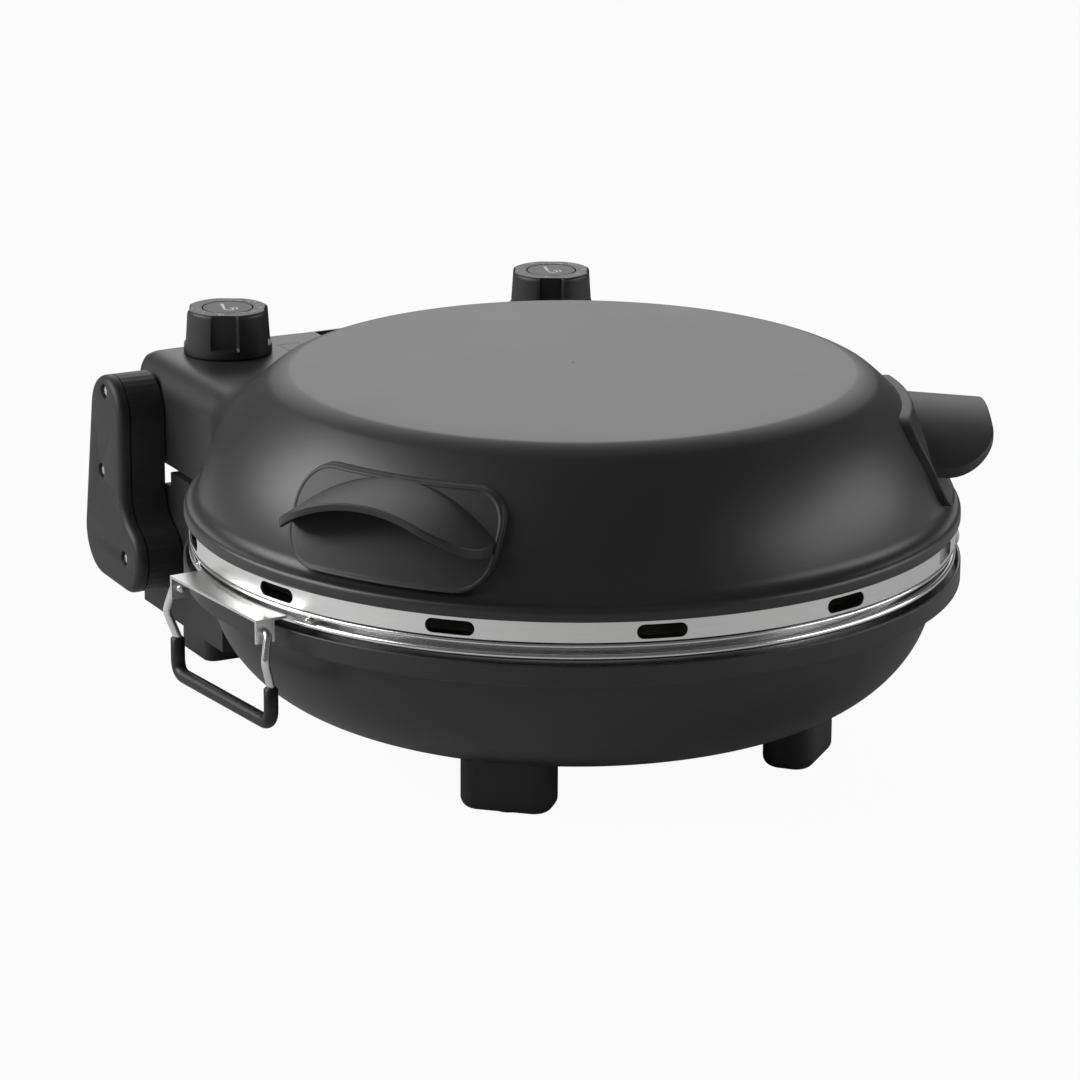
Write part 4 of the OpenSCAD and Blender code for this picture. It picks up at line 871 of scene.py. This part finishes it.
ICON_TURN = 63.0
for side, word in SIDES.items():
    middle = (side * KNOB_X, KNOB_Y)
    marks = [strip(ring_arc(middle, 13.4, 38, 86), np.linspace(0.7, 0.25, 24))]
    marks += [strip(ring_arc(middle, 13.4, a, a + 24), 0.4) for a in (218, 262)]
    marks += [strip(ring_arc(middle, r, a, a + 5, 4), 0.5) for r, a in ((16.6, 12), (14.2, 18), (16.9, 160))]
    for a in (8, -6, -22, 176, 196):
        spoke = [(middle[0] + r * math.cos(math.radians(a)), middle[1] + r * math.sin(math.radians(a)))
                 for r in (13.6, 14.6, 15.6)]
        marks.append(strip(spoke, 0.35))
    for number, a in (("0", 98), ("10", 26), ("20", 334), ("30", 300), ("10", 236)):
        marks += digits(number, middle, 15.6, a)
    body = f"knob_turn_{word}"
    printed(f"knob_scale_{word}", marks, KNOB_TOP + PRINT, body, "pale_print")
    up_way = np.array([math.cos(math.radians(ICON_TURN)), math.sin(math.radians(ICON_TURN))])
    right_way = np.array([up_way[1], -up_way[0]])
    stem = [middle + up_way * u + right_way * v for u, v in ((6.6, -3.2), (1.5, -2.2), (-3.4, -1.3))]
    bulb = ring_arc(middle - up_way * 3.7 + right_way * 0.9, 2.1, ICON_TURN + 60, ICON_TURN + 360)
    wave = [middle + up_way * u + right_way * v for u, v in ((-0.6, 2.2), (-0.2, 4.0), (-2.6, 5.0), (-4.4, 4.0))]
    icon = [strip(stem, (1.7, 1.2, 1.0)), strip(bulb, 0.9), strip(softened(wave, 0.6, 3, False), 0.7)]
    printed(f"knob_symbol_{word}", icon, KNOB_TOP - 0.1 + PRINT, body, "pale_print")
print("strips on a knob:", len(marks) + len(icon))

# %% [markdown]
# Two small outlines of a house are printed on the top of the housing, one on
# each side of the lamps.

# %% Prints on the housing
HOUSE = [(-60.2, 187.8), (-50.2, 187.8), (-50.2, 181.5), (-57.2, 174.6), (-60.2, 174.6), (-60.2, 187.8)]
for side, word in SIDES.items():
    outline = softened([(-side * x, y) for x, y in HOUSE], 0.6, 3, False)
    printed(f"housing_mark_{word}", [strip(outline, 0.6)], TOP_Z + SKIN + PRINT, "lid", "grey_print")
print("housing marks:", 2 * len(outline))

# %% [markdown]
# ## Side handles
#
# A handle is one moulding. Its plate lies on the slope of the lid and its
# visor is a sector of a round shell that stands out from the plate. Its free
# edge is straight, with large round corners seen from above.

# %% Slope of the lid under a handle
heights, reaches = profile[::-1, 1], profile[::-1, 0]
leans = np.hypot(1, np.gradient(reaches) / np.maximum(np.gradient(heights), 1e-3))


def on_lid(y, z, h):
    """Distance outwards at which a point stands h above the lid's surface."""
    r = np.interp(z, heights, reaches) + h * np.interp(z, heights, leans)
    return math.sqrt(r * r - y * y)


HANDLE_ANGLES = {-1: 56.5, 1: 65.5}
PLATE_W, PLATE_Z, PLATE_T, PLATE_R = 102.0, (116.5, 158.0), 3.0, 16.0


def plate_ring(inset, n=10):
    """Points (y, z) round the outline of the plate, drawn in by inset."""
    half, low, high = PLATE_W / 2 - inset, PLATE_Z[0] + inset, PLATE_Z[1] - inset
    r = PLATE_R - inset
    line = []
    for cy, cz, a in ((half - r, high - r, 0), (r - half, high - r, 90), (r - half, low + r, 180), (half - r, low + r, 270)):
        corner = [(cy + r * math.cos(math.radians(a + t)), cz + r * math.sin(math.radians(a + t)))
                  for t in np.linspace(0, 90, n)]
        if line:
            last = line[-1]
            line += [(last[0] + (corner[0][0] - last[0]) * k / 9, last[1] + (corner[0][1] - last[1]) * k / 9)
                     for k in range(1, 9)]
        line += corner
    last, first = line[-1], line[0]
    return line + [(last[0], last[1] + (first[1] - last[1]) * k / 5) for k in range(1, 5)]


def plate_rows():
    """Rings of the plate, from its middle out and down its edge."""
    middle_z = sum(PLATE_Z) / 2
    rows = []
    for share in (0.02, 0.2, 0.4, 0.6, 0.75, 0.9, 0.97):
        rows.append([(share * y, middle_z + share * (z - middle_z), PLATE_T) for y, z in plate_ring(2.0)])
    bead = ((2.0, 0.0), (1.7, 0.03), (1.4, 0.2), (1.1, 0.36), (0.7, 0.4), (0.35, 0.3), (0.1, 0.1), (0.0, -0.3))
    for inset, rise in (*bead, (0.0, -0.8), (0.0, 0.08 - PLATE_T)):
        h = PLATE_T + rise
        rows.append([(y, z, h) for y, z in plate_ring(inset)])
    return [[(on_lid(y, z, h), y, z) for y, z, h in row] for row in rows]


print("points round the plate:", len(plate_ring(0)))

# %% Visor of a handle
ARCH_W, ARCH_RISE, ARCH_T, ARCH_FOOT_Z, ARCH_LEAN = 99.0, 19.0, 3.4, 138.0, 5.0
VISOR_X, CORNER_R, HINGE_X = 187.0, 24.0, 155.5
ARCH_R = (ARCH_W**2 / 4 + ARCH_RISE**2) / (2 * ARCH_RISE)
ARCH_Z = ARCH_FOOT_Z + ARCH_RISE - ARCH_R


def arch_height(x, y, r):
    """Height of a round shell of radius r that leans down outwards."""
    lean = math.radians(ARCH_LEAN)
    return ARCH_Z + math.sqrt(r * r - y * y) / math.cos(lean) - (x - HINGE_X) * math.tan(lean)


def edge_reach(y, r):
    """How far the visor reaches out at y."""
    beyond = max(abs(y) - (ARCH_W / 2 - CORNER_R), 0)
    return VISOR_X - CORNER_R + math.sqrt(max(CORNER_R**2 - beyond**2, 0))


def root_reach(y, r):
    """How far out the shell of radius r leaves the lid at y."""
    x = HINGE_X
    for _ in range(6):
        x = on_lid(y, arch_height(x, y, r), 0.4)
    return x


def visor_rows(n=96):
    """Sections through the visor, from one end of the arch to the other."""
    half = ARCH_W / 2
    rows = []
    for y in (half - 0.02) * np.sin(np.linspace(-math.pi / 2, math.pi / 2, n)):
        top, low = ARCH_R, ARCH_R - ARCH_T
        section = []
        for r, ends in ((top, (root_reach, edge_reach)), (low, (edge_reach, root_reach))):
            for reach in ends:
                x = reach(y, r)
                section.append((x, arch_height(x, y, r)))
        inner, outer = section[0], section[1]
        section[0:1] = [inner, ((inner[0] + outer[0]) / 2, (inner[1] + outer[1]) / 2)]
        rows.append([(x, y, z) for x, z in softened(section, 0.9, 4)])
    return rows


for side, word in SIDES.items():
    turn = outwards(HANDLE_ANGLES[side], side)
    plate, visor = plate_rows(), visor_rows()
    points = [turn(p) for row in plate for p in row]
    faces = grid_faces(len(plate), len(plate[0]), True) + [tuple(range(len(plate[0])))]
    start, wide = len(points), len(visor[0])
    points += [turn(p) for row in visor for p in row]
    faces += [tuple(i + start for i in f) for f in grid_faces(len(visor), wide, True)]
    faces += [tuple(range(start, start + wide)), tuple(range(len(points) - wide, len(points)))]
    handle = piece(f"handle_{word}_moulding", points, faces, "lid", "handle_plastic", crease=38)
    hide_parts(f"handle_{word}")
print("points on a handle:", len(points))

# %% [markdown]
# ## Arm covers
#
# Seen from the side an arm is two round lobes and a toe, joined by straight
# belts and one hollow neck. The cover repeats that outline, drawn in step by
# step where its outer edge is round, and has three deep holes for its screws.

# %% Outline of an arm
LID_PIN, TAIL, TOE = (190.0, 123.0), (197.0, 62.0), (169.0, 57.0)
LOBE_R, TAIL_R, TOE_R, NECK_R = 18.0, 21.0, 16.5, 18.0
COVER_X, COVER_T, COVER_EDGE, SEAT_X = 143.8, 6.0, 3.4, 147.2
SCREWS = [(190.0, 133.7), (195.0, 93.7), (169.0, 57.0)]


def lobe(c, r, a, b, n):
    """Points on a circle about c from angle a to angle b, in degrees."""
    return [(c[0] + r * math.cos(math.radians(t)), c[1] + r * math.sin(math.radians(t)))
            for t in np.linspace(a, b, n)]


def belt_angle(a, ra, b, rb):
    """Angle at which a straight belt leaves circle a for circle b."""
    gap = math.hypot(b[0] - a[0], b[1] - a[1])
    return math.degrees(math.atan2(b[1] - a[1], b[0] - a[0]) + math.acos((ra - rb) / gap))


def arm_outline(shrink):
    """Outline of an arm in (y, z), drawn in by shrink."""
    back, under = belt_angle(LID_PIN, LOBE_R, TAIL, TAIL_R), belt_angle(TAIL, TAIL_R, TOE, TOE_R)
    neck_y = LID_PIN[0] - LOBE_R - NECK_R
    neck = (neck_y, TOE[1] + math.sqrt((NECK_R + TOE_R) ** 2 - (TOE[0] - neck_y) ** 2))
    touch = math.degrees(math.atan2(neck[1] - TOE[1], neck[0] - TOE[0]))
    return (
        lobe(LID_PIN, LOBE_R - shrink, 180, back, 40) + lobe(TAIL, TAIL_R - shrink, back, under, 36)
        + lobe(TOE, TOE_R - shrink, under, touch - 360, 36)[:-1]
        + lobe(neck, NECK_R + shrink, touch - 180, 0, 24)[:-1]
    )


print("points round an arm:", len(arm_outline(0)))

# %% Arm covers
outer_x = COVER_X + COVER_T
cover_rows = [(COVER_X, 0.5), (COVER_X + 0.15, 0.2), (COVER_X + 0.5, 0.0), (COVER_X + 1.0, 0.0)]
cover_rows += [
    (outer_x - COVER_EDGE * (1 - math.sin(a)), COVER_EDGE * (1 - math.cos(a)))
    for a in np.linspace(0, math.pi / 2, 10)
]
outer_line = arm_outline(COVER_EDGE)
holes = [lobe(c, 3.75, 0, 360, 33)[:-1] for c in SCREWS]
flat = [[Vector((0, y, z)) for y, z in line] for line in [outer_line, *holes]]
triangles = tessellate_polygon(flat)
for side, word in SIDES.items():
    points, faces = [], grid_faces(len(cover_rows), len(outer_line), True)
    for x, shrink in cover_rows:
        points += [(side * x, y, z) for y, z in arm_outline(shrink)]
    last_ring = len(points) - len(outer_line)
    for c in SCREWS:
        first = len(points)
        well = [(outer_x, 3.75), (outer_x - 0.08, 3.6), (outer_x - 0.25, 3.52), (outer_x - 0.6, 3.5), (SEAT_X, 3.5), (SEAT_X, 1.5)]
        for x, r in well:
            points += [(side * x, y, z) for y, z in lobe(c, r, 0, 360, 33)[:-1]]
        faces += [tuple(i + first for i in f) for f in grid_faces(len(well), 32, True)]
    rims = list(range(last_ring, last_ring + len(outer_line)))
    for k in range(len(SCREWS)):
        first = last_ring + len(outer_line) + k * 6 * 32
        rims += list(range(first, first + 32))
    faces += [tuple(rims[i] for i in t) for t in triangles]
    cover = piece(f"arm_face_{word}", points, faces, "arms", "black_plastic", crease=45)
    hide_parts(f"arm_cover_{word}")
print("faces on a cover:", len(faces))

# %% Screw heads of the arms
dome = [(2.8, 0.02), (2.8, 0.5), (2.72, 0.75), (2.4, 1.15), (1.95, 1.45), (1.9, 1.47), (0.85, 1.75), (0.8, 1.76), (0.02, 1.8)]
slots = [math.radians(90 * k + a) for k in range(4) for a in (-17, -15, 0, 15, 17, 31, 45, 59)]
points, faces = [], []
for side in SIDES:
    for y, z in SCREWS:
        first = len(points)
        for k, (r, out) in enumerate(dome):
            for a in slots:
                in_arm = abs((math.degrees(a) + 45) % 90 - 45) < 16
                sunk = 0.9 if k > 6 or (k > 4 and in_arm) else 0.0
                points.append((side * (SEAT_X + out - sunk), y + r * math.cos(a), z + r * math.sin(a)))
        faces += [tuple(i + first for i in f) for f in grid_faces(len(dome), len(slots), True)]
heads = piece("arm_screw_heads", points, faces, "arms", "zinc_screws", crease=35)
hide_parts("arm_screws")
print("points on the screw heads:", len(points))

# %% [markdown]
# ## Bails
#
# A bail is one bent wire. Each leg leaves its eye, kinks outwards and runs
# into a rubber sleeve that covers the grip and its two round corners.

# %% Bail wires and sleeves
BAIL_ANGLES = {-1: 85.0, 1: 95.0}
BAIL_R, BAIL_Z, BAIL_HALF, BAIL_DROP = 181.5, 88.0, 39.0, 41.0
WIRE_D, SLEEVE_D, SLEEVE_TOP, LEG_Y = 3.8, 6.4, 24.0, 42.2


def bail_path():
    """Corner points of the wire, drawn about its pivot with +X outwards."""
    leg = [(0, BAIL_HALF - 4, 0), (0, LEG_Y, 0), (3, LEG_Y + 2.5, -12), (-1, LEG_Y, -SLEEVE_TOP), (-1, LEG_Y, -BAIL_DROP)]
    return leg + [(x, -y, z) for x, y, z in reversed(leg)]


for side, word in SIDES.items():
    turn, body = outwards(BAIL_ANGLES[side], side), f"bail_swing_{word}"
    route = [(BAIL_R + x, y, BAIL_Z + z) for x, y, z in softened(bail_path(), 6.0, 10, False)]
    wire = bar(f"bail_{word}_wire", [turn(p) for p in route], WIRE_D / 2, body, "bail_chrome")
    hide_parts(f"bail_wire_{word}")
    loop = [(-1, LEG_Y, -SLEEVE_TOP), (-1, LEG_Y, -BAIL_DROP), (-1, -LEG_Y, -BAIL_DROP), (-1, -LEG_Y, -SLEEVE_TOP)]
    route = [(BAIL_R + x, y, BAIL_Z + z) for x, y, z in softened(loop, 7.0, 14, False)]
    sleeve = bar(f"bail_{word}_sleeve", [turn(p) for p in route], SLEEVE_D / 2, body, "grip_rubber")
    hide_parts(f"bail_grip_{word}")
print("bails are bent")

# %% [markdown]
# ## Front feet
#
# A front foot is a short block whose plan is a rectangle with wide round
# corners. Its lower edge is round as well, and its top follows the bowl.

# %% Front feet
FOOT_ANGLE, FOOT_AT, FOOT_D, FOOT_W, FOOT_CORNER = 42.0, 109.0, 24.0, 42.0, 9.0
FOOT_Z, FOOT_ROUND = 0.8, 5.0


def foot_ring(inset):
    """Points (x, y) round the plan of a foot, drawn in by inset."""
    half_x, half_y, r = FOOT_D / 2 - inset, FOOT_W / 2 - inset, FOOT_CORNER - inset
    ring_points = []
    for cx, cy, a in ((1, 1, 0), (-1, 1, 90), (-1, -1, 180), (1, -1, 270)):
        for t in np.radians(np.linspace(a, a + 90, 12)):
            ring_points.append((cx * (half_x - r) + r * math.cos(t), cy * (half_y - r) + r * math.sin(t)))
    return ring_points


def bowl_underside(x, y):
    """Height of the middle of the bowl's sheet over a point of the foot."""
    off = max(math.hypot(FOOT_AT + x, y) - FLAT_R, 0)
    drop = (SIDE_H - BOWL_T / 2) * math.sqrt(1 - (off / (SIDE_W - BOWL_T / 2)) ** 2)
    return SIDE_TOP - drop


foot_rows = [[(x * 0.01, y * 0.01, FOOT_Z) for x, y in foot_ring(FOOT_ROUND)]]
foot_rows += [
    [(x, y, FOOT_Z + FOOT_ROUND * (1 - math.cos(a))) for x, y in foot_ring(FOOT_ROUND * (1 - math.sin(a)))]
    for a in np.linspace(0, math.pi / 2, 9)
]
foot_rows += [[(x, y, z) for x, y in foot_ring(0)] for z in (7, 12, 18)]
foot_rows += [[(x, y, bowl_underside(x, y)) for x, y in foot_ring(inset)] for inset in (0.0, 4.0)]
for side, word in SIDES.items():
    turn = outwards(FOOT_ANGLE, side)
    points = [turn((FOOT_AT + x, y, z)) for row in foot_rows for x, y, z in row]
    faces = grid_faces(len(foot_rows), len(foot_rows[0]), True)
    foot = piece(f"foot_{word}", points, faces, "base", "black_plastic", crease=50)
    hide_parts(f"front_foot_{word}")
print("rows of a foot:", len(foot_rows))
